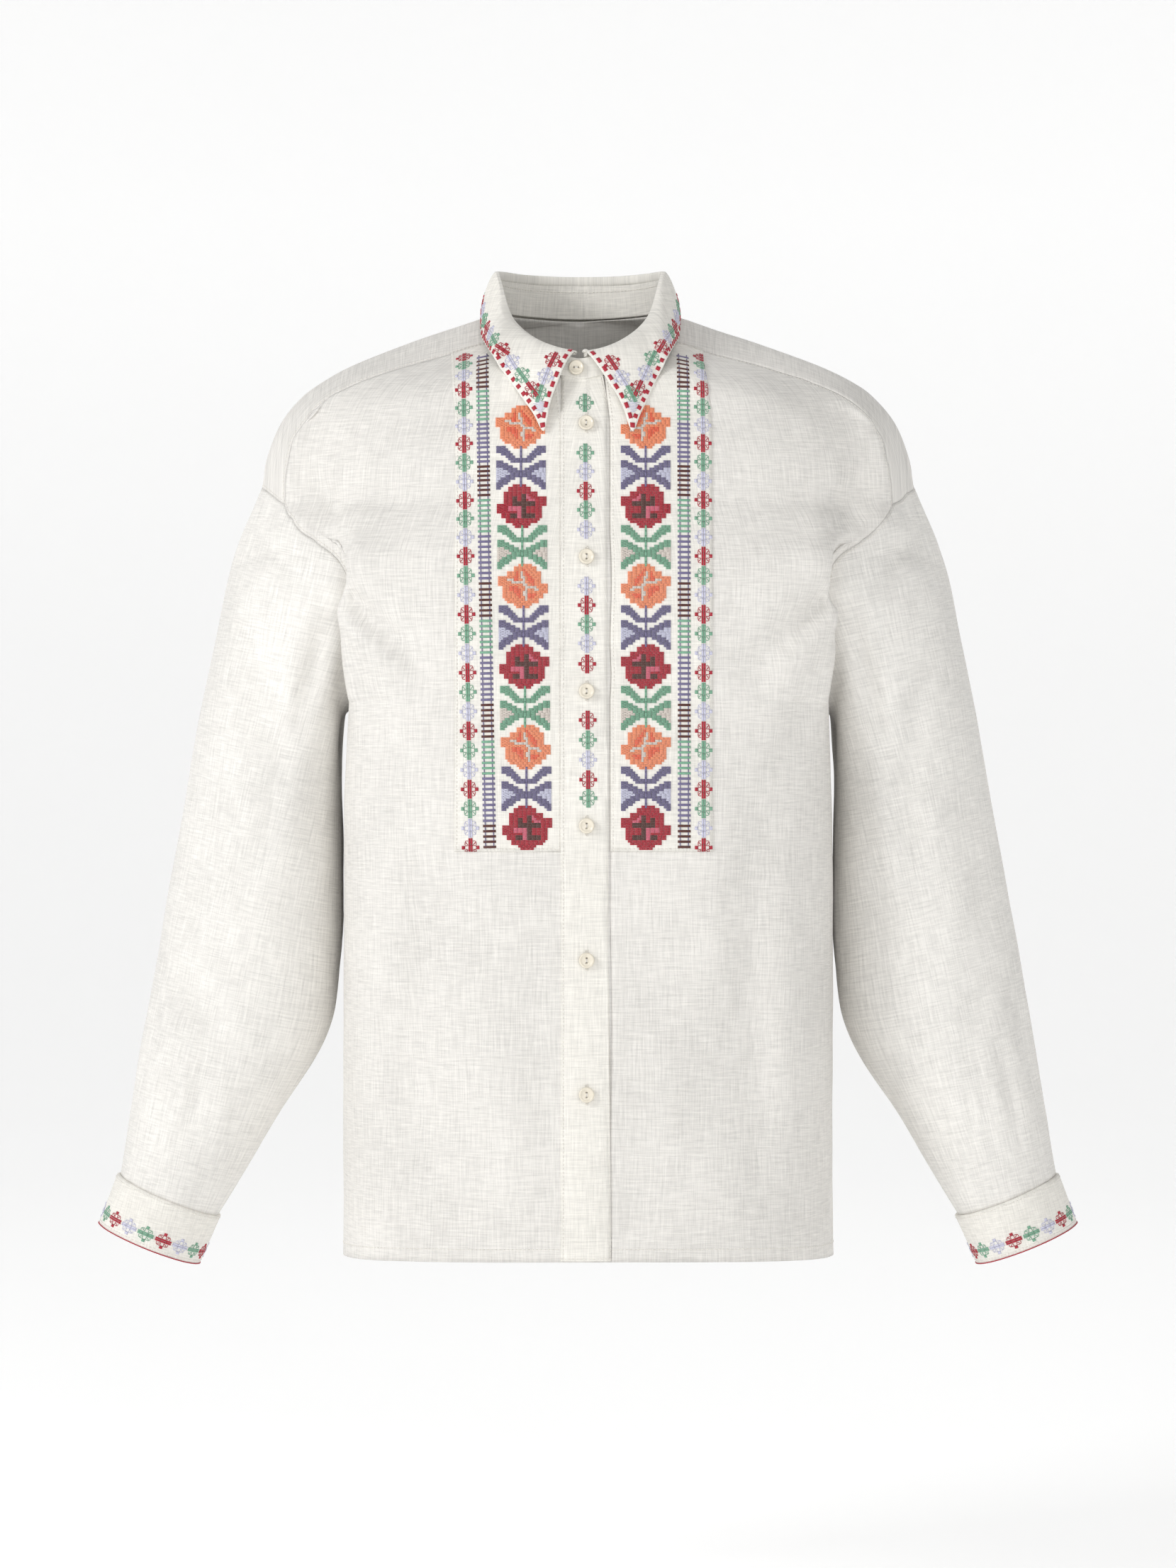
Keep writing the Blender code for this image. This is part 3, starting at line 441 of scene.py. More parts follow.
def outer_sheet(name, rim_turn=None):
    """A copy of the outer face of a node's wall, welded and in four-sided faces.

    Its rim is the narrow faces, or where a turn is given, what lies beyond an edge that sharp.
    """
    shape = bmesh.new()
    shape.from_mesh(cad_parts[name].data)
    bmesh.ops.remove_doubles(shape, verts=shape.verts, dist=0.00002)
    if rim_turn is None:
        rim = [face for face in shape.faces if min(edge.calc_length() for edge in face.edges) < 0.003]
        bmesh.ops.delete(shape, geom=rim, context="FACES")
    else:
        sharp = [edge for edge in shape.edges if edge.calc_face_angle(0.0) > rim_turn]
        bmesh.ops.split_edges(shape, edges=sharp)
    shells, seen = [], set()
    for start in shape.faces:
        if start in seen:
            continue
        shell, waiting = [], [start]
        seen.add(start)
        while waiting:
            face = waiting.pop()
            shell.append(face)
            for edge in face.edges:
                for other in edge.link_faces:
                    if other not in seen:
                        seen.add(other)
                        waiting.append(other)
        shells.append(shell)
    shells.sort(key=lambda shell: sum(face.calc_area() for face in shell))
    inner = [face for shell in shells[:-1] for face in shell]
    bmesh.ops.delete(shape, geom=inner, context="FACES")
    bmesh.ops.join_triangles(
        shape, faces=shape.faces[:], angle_face_threshold=1.0, angle_shape_threshold=1.2
    )
    return shape


def evaluated_mesh(mesh, kind, **settings):
    """The mesh with one modifier applied, as a new mesh."""
    holder = bpy.data.objects.new("holder", mesh)
    bpy.context.scene.collection.objects.link(holder)
    modifier = holder.modifiers.new("made", kind)
    for key, value in settings.items():
        setattr(modifier, key, value)
    graph = bpy.context.evaluated_depsgraph_get()
    made = bpy.data.meshes.new_from_object(holder.evaluated_get(graph))
    bpy.data.objects.remove(holder)
    return made


def smoothed(mesh, levels):
    """The mesh subdivided to a smooth surface that still passes through its own points."""
    target = surface_points(mesh)
    control = target.copy()
    settings = {"levels": 1, "render_levels": 1, "use_limit_surface": True}
    for _ in range(5):
        once = evaluated_mesh(mesh, "SUBSURF", **settings)
        control += target - surface_points(once)[: len(target)]
        put_points(mesh, control)
        bpy.data.meshes.remove(once)
    settings.update(levels=levels, render_levels=levels)
    return evaluated_mesh(mesh, "SUBSURF", **settings)


def sewn_form():
    """The sewn cloth welded and smoothed; each face's material index is its piece, plus 10 in a bib."""
    whole = bmesh.new()
    for index, name in enumerate(SEWN):
        sheet = outer_sheet(name)
        for face in sheet.faces:
            middle = face.calc_center_median()
            in_bib = middle.z > BIB_BOTTOM and (
                (name == "front_right" and BIB_RIGHT_OUTER + 0.003 < middle.x < BAND_LEFT)
                or (name == "front_left" and middle.x < BIB_LEFT_OUTER - 0.003)
            )
            face.material_index = index + (10 if in_bib else 0)
        mesh = as_mesh(sheet, name)
        whole.from_mesh(mesh)
        bpy.data.meshes.remove(mesh)
    bmesh.ops.remove_doubles(whole, verts=whole.verts, dist=0.0012)
    return smoothed(as_mesh(whole, "sewn_form"), 3)


def tree_of(mesh):
    return BVHTree.FromPolygons(
        [vertex.co.copy() for vertex in mesh.vertices], [tuple(face.vertices) for face in mesh.polygons]
    )


def crease_line(tree, start, end, bend):
    """Points along a crease, bent aside in its middle and put back on the cloth."""
    start, end = Vector(start), Vector(end)
    normal = tree.find_nearest((start + end) / 2)[1]
    aside = (end - start).cross(normal).normalized()
    line = []
    for i in range(13):
        point = start.lerp(end, i / 12) + aside * bend * math.sin(math.pi * i / 12)
        line.append(tree.find_nearest(point)[0])
    return np.array([tuple(point) for point in line])


def creased(points, normals, tree, strength):
    """Soft uneven troughs and ridges on both sides of the shirt, and the cloth's own slackness."""
    moved = np.zeros(len(points))
    for start, end, bend, width, depth in zip(*CREASES.values()):
        for side in (1.0, -1.0):
            uneven = 1.0 + 0.25 * side * math.sin(start[2] * 90.0)
            mirror = (side, 1.0, 1.0)
            ends = (np.multiply(start, mirror), np.multiply(end, mirror))
            line = crease_line(tree, *ends, bend * side * uneven)
            close = np.where(np.abs(points - line.mean(0)).max(1) < 0.2)[0]
            away = np.linalg.norm(points[close][:, None] - line[None], axis=2)
            share = away.argmin(1) / (len(line) - 1)
            away = away.min(1)
            fade = np.sin(math.pi * np.clip(share, 0.06, 0.94)) ** 0.7
            trough = np.exp(-((away / (width * uneven)) ** 2))
            shoulder = np.exp(-(((away - 2.0 * width) / width) ** 2))
            moved[close] -= depth * uneven * fade * (trough - 0.35 * shoulder)
    slack = [noise.noise(Vector(p) * 9.0) * 0.0013 + noise.noise(Vector(p) * 26.0) * 0.0004 for p in points]
    moved += np.array(slack)
    return points + normals * (moved * strength)[:, None]


def cloth_map(mesh, kind):
    """Lays a map in metres on the cloth, so that the weave runs across and down it."""
    points = surface_points(mesh)
    x, y, z = points.T
    girth = 2 * math.pi * SLEEVE_RADIUS
    if kind == "tube":
        side = 1.0 if x.mean() > 0 else -1.0
        top, foot = (np.array([spot[0] * side, spot[1], spot[2]]) for spot in SLEEVE_AXIS)
        along = (foot - top) / np.linalg.norm(foot - top)
        out = np.cross(along, (0.0, 1.0, 0.0)) * side
        down = (points - top) @ along
        from_axis = points - top - down[:, None] * along
        across = np.arctan2(from_axis[:, 1], from_axis @ out) * SLEEVE_RADIUS
    elif kind == "level":
        across, down = x, y
    elif kind == "ring":
        across = np.arctan2(x, -y) * SLEEVE_RADIUS
        down = z
    else:
        across = np.sign(x) * (np.abs(x) + np.maximum(0.122 - np.abs(y), 0.0))
        down = z
    corner = np.zeros(len(mesh.loops), int)
    mesh.loops.foreach_get("vertex_index", corner)
    across, down = across[corner], down[corner]
    if kind in ("tube", "ring"):
        starts = np.zeros(len(mesh.polygons), int)
        sizes = np.zeros(len(mesh.polygons), int)
        mesh.polygons.foreach_get("loop_start", starts)
        mesh.polygons.foreach_get("loop_total", sizes)
        first = across[np.repeat(starts, sizes)]
        across = across - girth * np.round((across - first) / girth)
    layer = mesh.uv_layers.new(name="cloth")
    layer.uv.foreach_set("vector", np.stack([across, down], 1).astype(np.float32).ravel())


def part_of(form, chosen, inset=0.0, lift=0.0):
    """The faces with these material indexes as their own mesh, its border drawn in and the sheet lifted."""
    shape = bmesh.new()
    shape.from_mesh(form)
    others = [face for face in shape.faces if face.material_index not in chosen]
    bmesh.ops.delete(shape, geom=others, context="FACES")
    for face in shape.faces:
        face.material_index = 0
    shape.normal_update()
    lifts = [(vertex, vertex.normal * lift) for vertex in shape.verts]
    pulls = {}
    for edge in shape.edges:
        if edge.is_boundary:
            inward = edge.link_faces[0].calc_center_median() - (edge.verts[0].co + edge.verts[1].co) / 2
            for vertex in edge.verts:
                pulls[vertex] = pulls.get(vertex, Vector()) + inward.normalized()
    for vertex, pull in pulls.items():
        vertex.co += pull.normalized() * inset
    for vertex, shift in lifts:
        vertex.co += shift
    return as_mesh(shape, "part")


def thickened(mesh, thickness):
    """The sheet as a closed thin wall, grown inwards."""
    return evaluated_mesh(mesh, "SOLIDIFY", thickness=thickness, offset=-1.0, use_even_offset=False)


def runs_of(pairs):
    """Pairs of linked vertices ordered into runs; a closed run ends where it starts."""
    links = {}
    for a, b in pairs:
        links.setdefault(a, []).append(b)
        links.setdefault(b, []).append(a)
    left = {tuple(sorted(pair)) for pair in pairs}
    runs = []
    while left:
        ends = sorted(v for v in links if sum(tuple(sorted((v, w))) in left for w in links[v]) % 2)
        here = ends[0] if ends else min(left)[0]
        run = [here]
        while True:
            after = sorted(w for w in links[here] if tuple(sorted((here, w))) in left)
            if not after:
                break
            left.discard(tuple(sorted((here, after[0]))))
            here = after[0]
            run.append(here)
        runs.append(run)
    return runs


def border_runs(mesh):
    """The mesh's open borders as runs of points, the longest first."""
    shape = bmesh.new()
    shape.from_mesh(mesh)
    pairs = [(e.verts[0].index, e.verts[1].index) for e in shape.edges if e.is_boundary]
    points = [vertex.co.copy() for vertex in shape.verts]
    shape.free()
    lines = [[points[i] for i in run] for run in runs_of(pairs)]
    return sorted(lines, key=line_length, reverse=True)


def seam_runs(form, first, second):
    """The runs of edges where one set of pieces meets another."""
    shape = bmesh.new()
    shape.from_mesh(form)
    pairs = []
    for edge in shape.edges:
        ids = {face.material_index % 10 for face in edge.link_faces}
        if len(ids) == 2 and ids & first and ids & second:
            pairs.append((edge.verts[0].index, edge.verts[1].index))
    points = [vertex.co.copy() for vertex in shape.verts]
    shape.free()
    lines = [[points[i] for i in run] for run in runs_of(pairs)]
    return sorted(lines, key=line_length, reverse=True)


def line_length(line):
    return sum((b - a).length for a, b in zip(line, line[1:]))


def beside(line, tree, inset):
    """The line moved across the cloth, and put back on it."""
    moved = []
    for i, point in enumerate(line):
        before, after = line[max(i - 3, 0)], line[min(i + 3, len(line) - 1)]
        aside = (after - before).cross(tree.find_nearest(point)[1]).normalized()
        moved.append(tree.find_nearest(point + aside * inset)[0])
    return moved


def walked(line, pitch, start=0.0):
    """Places along a line at an even pitch, each with the direction of travel."""
    places, travelled, due = [], 0.0, start
    for first, second in zip(line, line[1:]):
        length = (second - first).length
        while length > 0 and travelled + length >= due:
            places.append((first.lerp(second, (due - travelled) / length), (second - first).normalized()))
            due += pitch
        travelled += length
    return places


def drawn_seams(form):
    """Sinks the cloth a little along its seams."""
    shape = bmesh.new()
    shape.from_mesh(form)
    on_seam = KDTree(len(shape.verts))
    for edge in shape.edges:
        if len({face.material_index % 10 for face in edge.link_faces}) == 2:
            on_seam.insert(edge.verts[0].co, 0)
    on_seam.balance()
    shape.free()
    points, normals = surface_points(form), surface_normals(form)
    away = np.array([on_seam.find(Vector(point))[2] for point in points])
    sunk = SEAM_DEPTH * (np.exp(-((away / 0.0022) ** 2)) - 0.4 * np.exp(-(((away - 0.0055) / 0.003) ** 2)))
    body = (np.abs(points[:, 0]) < BODY_EDGE) & (points[:, 2] < CUFF_LEVEL)
    above_hem = points[:, 2] - points[body, 2].min()
    sunk += np.where(body, 0.0006 * np.exp(-(((above_hem - HEM_BAND) / 0.0016) ** 2)), 0.0)
    put_points(form, points - normals * sunk[:, None])


def carried_on(sheet, way, steps):
    """A tube's border at the cuff's seam carried on down (way 1) or up (way -1) and inwards."""
    shape = bmesh.new()
    shape.from_mesh(sheet)
    side = 1.0 if shape.verts[:][0].co.x > 0 else -1.0
    along = (Vector(SLEEVE_AXIS[1]) - Vector(SLEEVE_AXIS[0])).normalized()
    along.x *= side
    loops = [edge for edge in shape.edges if edge.is_boundary]
    level = sum(edge.verts[0].co.dot(along) for edge in loops) / len(loops)
    edges = [edge for edge in loops if (edge.verts[0].co.dot(along) - level) * way > 0]
    for step, inwards in steps:
        made_now = bmesh.ops.extrude_edge_only(shape, edges=edges)["geom"]
        fresh = {item for item in made_now if isinstance(item, bmesh.types.BMVert)}
        centre = sum((vertex.co for vertex in fresh), Vector()) / len(fresh)
        for vertex in fresh:
            inward = centre - vertex.co
            inward -= along * inward.dot(along)
            vertex.co += along * step * way + inward.normalized() * inwards
        edges = [e for e in made_now if isinstance(e, bmesh.types.BMEdge) and set(e.verts) <= fresh]
    return as_mesh(shape, "carried_on")


def dress_sewn(strength, colours):
    """Fronts, back, yoke and sleeves as one form with its creases, then as separate sheets."""
    form = sewn_form()
    tree = tree_of(form)
    put_points(form, creased(surface_points(form), surface_normals(form), tree, strength))
    drawn_seams(form)
    made["form"] = form
    made["form_tree"] = tree_of(form)
    finishes = {
        "body": linen_finish("linen_body", colours["body"]),
        "sleeve": linen_finish("linen_sleeve", colours["sleeve"]),
    }
    kinds = {"yoke": "level", "sleeve_right": "tube", "sleeve_left": "tube"}
    for index, name in enumerate(SEWN):
        sheet = part_of(form, {index, index + 10}, SEAM_INSET)
        if name.startswith("sleeve"):
            sheet = carried_on(sheet, 1.0, SLEEVE_TUCK)
        cloth_map(sheet, kinds.get(name, "body"))
        finish = finishes["sleeve" if name.startswith("sleeve") else "body"]
        piece = as_piece(thickened(sheet, CLOTH_THICKNESS), name + "_cloth", [finish])
        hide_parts(name)


def dress_bibs(colour):
    """The doubled panels on the chest, laid on the fronts."""
    finish = linen_finish("linen_double", colour, 0.8)
    made["double_finish"] = finish
    for index, name in ((10, "bib_right"), (11, "bib_left")):
        sheet = part_of(made["form"], {index}, 0.0, BIB_LIFT)
        cloth_map(sheet, "body")
        made[name] = sheet
        made[name + "_tree"] = tree_of(sheet)
        piece = as_piece(thickened(sheet, BIB_LIFT * 0.9), name + "_cloth", [finish])
        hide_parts(name)


def dress_placket():
    """The buttoned band: a long grid laid on the right front, lower at its stitched edges."""
    node = tree_of(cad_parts["placket"].data)
    low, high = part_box("placket")
    toward = Vector((0, 1, 0))

    def top_of(x):
        z = high[2]
        while z > low[2] and node.ray_cast(Vector((x, -0.5, z)), toward)[0] is None:
            z -= 0.0005
        return z

    shape = bmesh.new()
    bmesh.ops.create_grid(shape, x_segments=PLACKET_GRID[0], y_segments=PLACKET_GRID[1], size=1.0)
    shape.verts.ensure_lookup_table()
    tops = {}
    for vertex in shape.verts:
        u, v = vertex.co.x, vertex.co.y
        x = BAND_LEFT - 0.0010 + (BAND_RIGHT - BAND_LEFT + 0.0010) * (u + 1) / 2
        if round(u, 4) not in tops:
            tops[round(u, 4)] = top_of(min(max(x, BAND_LEFT + 0.001), BAND_RIGHT - 0.001)) + 0.0030
        bottom = low[2] + 0.0005
        z = bottom + (tops[round(u, 4)] - bottom) * (v + 1) / 2
        level = z
        spot, normal = made["form_tree"].ray_cast(Vector((x, -0.5, level)), toward)[:2]
        while spot is None or spot.y > 0:
            level -= 0.0005
            spot, normal = made["form_tree"].ray_cast(Vector((x, -0.5, level)), toward)[:2]
        spot.z = z
        bib = made["bib_right_tree"].ray_cast(Vector((x, -0.5, z)), toward)[0]
        if bib is not None and bib.y < spot.y:
            spot = bib
        share = min((1.0 - abs(u)) / 0.35, 1.0)
        vertex.co = spot + normal * (PLACKET_EDGE + (PLACKET_LIFT - PLACKET_EDGE) * share)
    bmesh.ops.recalc_face_normals(shape, faces=shape.faces)
    shape.normal_update()
    if sum(face.normal.y for face in shape.faces) > 0:
        bmesh.ops.reverse_faces(shape, faces=shape.faces)
    sheet = as_mesh(shape, "placket")
    cloth_map(sheet, "body")
    made["placket"] = sheet
    made["placket_tree"] = tree_of(sheet)
    piece = as_piece(thickened(sheet, PLACKET_LIFT * 0.9), "placket_cloth", [made["double_finish"]])
    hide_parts("placket")


def folded_over(sheet, fold):
    """The fall with its fold carried over the stand and a little way down inside the neck."""
    shape = bmesh.new()
    shape.from_mesh(sheet)
    places = KDTree(len(fold))
    for i, point in enumerate(fold):
        places.insert(point, i)
    places.balance()

    def share_along(vertex):
        _, i, away = places.find(vertex.co)
        return (i / (len(fold) - 1)) if away < 0.0002 else None

    edges = [
        edge
        for edge in shape.edges
        if edge.is_boundary and all(share_along(vertex) is not None for vertex in edge.verts)
    ]
    shares = {vertex: share_along(vertex) for edge in edges for vertex in edge.verts}
    for inward, down in FOLD_OVER:
        made_now = bmesh.ops.extrude_edge_only(shape, edges=edges)["geom"]
        fresh = [item for item in made_now if isinstance(item, bmesh.types.BMVert)]
        edges = [item for item in made_now if isinstance(item, bmesh.types.BMEdge) and item.is_boundary]
        edges = [edge for edge in edges if all(vertex in fresh for vertex in edge.verts)]
        moved = {}
        for vertex in fresh:
            before = next(other for edge in vertex.link_edges for other in edge.verts if other in shares)
            share = shares[before]
            centre = Vector((COLLAR_CENTRE[0], COLLAR_CENTRE[1], vertex.co.z))
            toward = (centre - vertex.co).normalized()
            fade = float(np.clip(min(share, 1 - share) / 0.12, 0.0, 1.0))
            vertex.co += toward * inward - Vector((0, 0, down * (0.25 + 0.75 * fade)))
            moved[vertex] = share
        shares = moved
    return as_mesh(shape, "folded_over")


def dress_doubled(name, kind, levels):
    """A cuff or a part of the collar, smoothed from its own solid."""
    sheet = smoothed(as_mesh(outer_sheet(name, RIM_TURNS.get(name)), name), levels)
    points, normals = surface_points(sheet), surface_normals(sheet)
    slack = np.array([noise.noise(Vector(p) * 30.0) * 0.0004 for p in points])
    put_points(sheet, points + normals * slack[:, None])
    cloth_map(sheet, kind)
    made[name] = sheet
    made[name + "_tree"] = tree_of(sheet)
    if name == "collar_fall":
        made["collar_edges"] = collar_edges()
        sheet = folded_over(sheet, made["collar_edges"][3])
    elif name.startswith("cuff"):
        sheet = carried_on(sheet, -1.0, CUFF_ROLL)
    piece = as_piece(thickened(sheet, DOUBLE_THICKNESS), name + "_cloth", [made["double_finish"]])
    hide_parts(name)


def turned(shape, profile, steps, weld):
    """Faces turned about the upright axis from a profile of radii and heights."""
    line = [shape.verts.new((radius, 0.0, height)) for radius, height in profile]
    edges = [shape.edges.new(pair) for pair in zip(line, line[1:])]
    around = {"cent": (0, 0, 0), "axis": (0, 0, 1), "angle": 2 * math.pi, "steps": steps}
    bmesh.ops.spin(shape, geom=line + edges, use_merge=True, **around)
    bmesh.ops.remove_doubles(shape, verts=shape.verts, dist=weld)
    bmesh.ops.recalc_face_normals(shape, faces=shape.faces)


def set_stage(colour, light):
    """A pale floor that curves up all round, soft lights and the picture's camera."""
    shape = bmesh.new()
    bends = [math.pi / 2 * i / 12 for i in range(13)]
    profile = [(0.0, 0.0), (1.5, 0.0), (3.0, 0.0)]
    profile += [(STAGE_FLAT + math.sin(bend) * 2.0, 2.0 * (1 - math.cos(bend))) for bend in bends]
    profile.append((STAGE_FLAT + 2.0, STAGE_HEIGHT))
    turned(shape, [(radius, FLOOR + height) for radius, height in profile], 72, 0.0001)
    if sum(face.normal.z * face.calc_area() for face in shape.faces) < 0:
        bmesh.ops.reverse_faces(shape, faces=shape.faces)
    floor = bpy.data.objects.new("studio_floor", as_mesh(shape, "studio_floor"))
    floor.data.materials.append(stage_finish(colour))
    floor.data.shade_smooth()
    bpy.context.scene.collection.objects.link(floor)

    world = bpy.data.worlds.new("studio")
    world.use_nodes = True
    background = world.node_tree.nodes["Background"]
    background.inputs["Color"].default_value = (1.0, 1.0, 1.0, 1.0)
    background.inputs["Strength"].default_value = 0.28 * light
    bpy.context.scene.world = world

    middle = Vector((0.0, 0.0, -0.36))
    lamps = (
        ("key", (-2.5, -1.7, 1.0), 0.9, 42.0),
        ("fill", (0.9, -3.1, 0.5), 1.6, 20.0),
        ("behind", (0.0, 2.0, 2.6), 2.6, 30.0),
    )
    for name, place, size, power in lamps:
        lamp = bpy.data.lights.new("studio_" + name, "AREA")
        lamp.shape = "SQUARE"
        lamp.size = size
        lamp.energy = power * light
        holder = bpy.data.objects.new("studio_" + name, lamp)
        holder.location = place
        holder.visible_camera = False
        holder.rotation_euler = (middle - Vector(place)).to_track_quat("-Z", "Y").to_euler()
        bpy.context.scene.collection.objects.link(holder)

    camera = bpy.data.cameras.new("picture_view")
    camera.sensor_fit = "AUTO"
    camera.sensor_width = 36.0
    camera.lens = 18.0 * CAMERA_AWAY / (PIXEL * PICTURE[1] / 2)
    holder = bpy.data.objects.new("picture_view", camera)
    holder.location = (0.0, -CAMERA_AWAY, CAMERA_HEIGHT)
    holder.rotation_euler = (math.pi / 2, 0.0, 0.0)
    bpy.context.scene.collection.objects.link(holder)
    bpy.context.scene.camera = holder
    bpy.context.scene.view_settings.view_transform = "Standard"


def stroke(shape, start, end, width, height, colour):
    """One laid thread from start to end: a long soft bead."""
    start, end = Vector((*start, 0.0)), Vector((*end, 0.0))
    along = end - start
    place = (
        Matrix.Translation((start + end) / 2)
        @ Matrix.Rotation(math.atan2(along.y, along.x), 4, "Z")
        @ Matrix.Diagonal((along.length * 0.56, width * 0.56, height, 1.0))
    )
    bead = bmesh.ops.create_icosphere(shape, subdivisions=1, radius=1.0, matrix=place)
    for face in {face for vertex in bead["verts"] for face in vertex.link_faces}:
        face.material_index = colour


def colour_of(letter):
    return tuple(THREADS).index(letter)


def pad(shape, start, end, width, height, colour):
    """One dense satin stitch from start to end: a low cushion with a flat foot."""
    start, end = Vector((*start, 0.0)), Vector((*end, 0.0))
    along = end - start
    cushion = bmesh.ops.create_cube(shape, size=1.0)["verts"]
    for vertex in cushion:
        top = vertex.co.z > 0
        vertex.co.x *= along.length * (0.90 if top else 1.02)
        vertex.co.y *= width * (0.66 if top else 1.0)
        vertex.co.z = height if top else -0.0003
    place = Matrix.Translation((start + end) / 2) @ Matrix.Rotation(math.atan2(along.y, along.x), 4, "Z")
    bmesh.ops.transform(shape, matrix=place, verts=cushion)
    for face in {face for vertex in cushion for face in vertex.link_faces}:
        face.material_index = colour


def charted(chart, across, down, swaps=None, mirrored=False):
    """A chart as short satin stitches along its rows, staggered like bricks."""
    shape = bmesh.new()
    rows, columns = len(chart), len(chart[0])
    fine = down / STITCH_ROWS
    for j in range(rows * STITCH_ROWS):
        row = chart[j // STITCH_ROWS]
        row = row[::-1] if mirrored else row
        height = (rows * STITCH_ROWS - 1) / 2 * fine - j * fine
        i = 0
        while i < columns:
            letter = row[i]
            length = 1
            longest = 2 if i or j % 2 else 1
            while i + length < columns and row[i + length] == letter and length < longest:
                length += 1
            if letter != ".":
                left = (i - columns / 2) * across
                colour = colour_of((swaps or {}).get(letter, letter))
                rise = SATIN_HEIGHT * (0.85 + 0.3 * ((i * 7 + j * 5) % 4) / 3)
                pad(shape, (left, height), (left + length * across, height), fine, rise, colour)
            i += length
    return as_mesh(shape, "charted")


def leafy(across, stem, fill):
    """The leaves with a smooth upright stem."""
    shape = bmesh.new()
    shape.from_mesh(charted(LEAVES, across, CROSS, {"S": stem, "f": fill}))
    half = len(LEAVES) * CROSS / 2 - 0.002
    for i in range(8):
        low, high = (-half + 2 * half * (i + k) / 8 for k in (0, 1))
        pad(shape, (0.0, low), (0.0, high), STEM, SATIN_HEIGHT * 1.5, colour_of(stem))
    return as_mesh(shape, "leafy")


def diamond(colour, size=1.0):
    """The small chain motif: a solid bar along the chain, a block at each side and open netting between."""
    shape = bmesh.new()
    mm = 0.001 * size
    for side in (1.0, -1.0):
        for low, high in ((-7.2, -2.4), (-2.4, 2.4), (2.4, 7.2)):
            x = side * 0.85 * mm
            pad(shape, (x, low * mm), (x, high * mm), 1.7 * mm, BLOCK_RISE, colour)
        x = side * 5.7 * mm
        pad(shape, (x, -1.4 * mm), (x, 1.4 * mm), 2.4 * mm, BLOCK_RISE, colour)
        for end in (1.0, -1.0):
            for first, second in NETTING:
                first = (first[0] * side * mm, first[1] * end * mm)
                second = (second[0] * side * mm, second[1] * end * mm)
                stroke(shape, first, second, 0.62 * mm, 0.00035, colour)
    return as_mesh(shape, "diamond")


def block(colour, width, height):
    """A small solid rectangle of satin stitches, its width across the line it follows."""
    shape = bmesh.new()
    pad(shape, (-width / 2, 0.0), (width / 2, 0.0), height, BLOCK_RISE, colour)
    return as_mesh(shape, "block")


def lens(colour):
    """The striped motif at a collar's tip: level threads, longest in the middle."""
    shape = bmesh.new()
    for i in range(9):
        height = (i - 4) * 0.00125
        reach = 0.0068 * math.cos(math.pi * (i - 4) / 10.0) - 0.0008 * (i % 2)
        stroke(shape, (-reach, height), (reach, height), 0.0008, 0.00035, colour)
    return as_mesh(shape, "lens")


def put(whole, motif, spot):
    """Copies a flat motif onto the cloth, point by point; spot gives a place and its normal."""
    first = len(whole.verts)
    whole.from_mesh(motif)
    whole.verts.ensure_lookup_table()
    for i in range(first, len(whole.verts)):
        vertex = whole.verts[i]
        place, normal = spot(vertex.co.x, vertex.co.y)
        vertex.co = place + normal * (vertex.co.z + THREAD_LIFT)


def seen_at(trees, x, z):
    """A spot finder for a motif placed in the front view."""
    def spot(u, v):
        for tree in trees:
            place, normal, _, _ = tree.ray_cast(Vector((x + u, -0.5, z + v)), Vector((0, 1, 0)))
            if place is not None:
                return place, normal
        raise ValueError("no cloth behind a motif at %.4f, %.4f" % (x + u, z + v))

    return spot


def close_to(tree, origin, along):
    """A spot finder for a motif that follows a line on the cloth, its v axis along the line."""
    normal = tree.find_nearest(origin)[1]
    across = along.cross(normal).normalized()

    def spot(u, v):
        place, facing, _, _ = tree.find_nearest(origin + across * u + along * v)
        return place, facing

    return spot


def as_threads(whole, name):
    as_piece(as_mesh(whole, name), name, made["threads"])


def prepare_threads():
    made["threads"] = [thread_finish("thread_" + NAMES[letter], THREADS[letter]) for letter in THREADS]


def leaning(x, z, side):
    """A place across one panel, whose bands lean a little."""
    return x + LEAN[side] * (z - LEAN_MIDDLE)


def cloth_column(trees, side, x, bottom, top):
    """Points up the cloth along one band of a panel."""
    column, z = [], bottom
    while z < top:
        start = Vector((leaning(x, z, side), -0.5, z))
        places = [tree.ray_cast(start, Vector((0, 1, 0)))[0] for tree in trees]
        if not any(places):
            break
        column.append(next(place for place in places if place is not None))
        z += 0.0005
    return column


def rising(column, first=0.0):
    """The ladder's places up a column, at the pitch seen from the front and closer near the shoulder."""
    places, due = [], column[0].z + first * RUNG_PITCH
    for below, above in zip(column, column[1:]):
        if above.z >= due:
            places.append((above, (above - below).normalized()))
            due += RUNG_PITCH if due < RUNGS_CLOSE else RUNG_PITCH_CLOSE
    return places


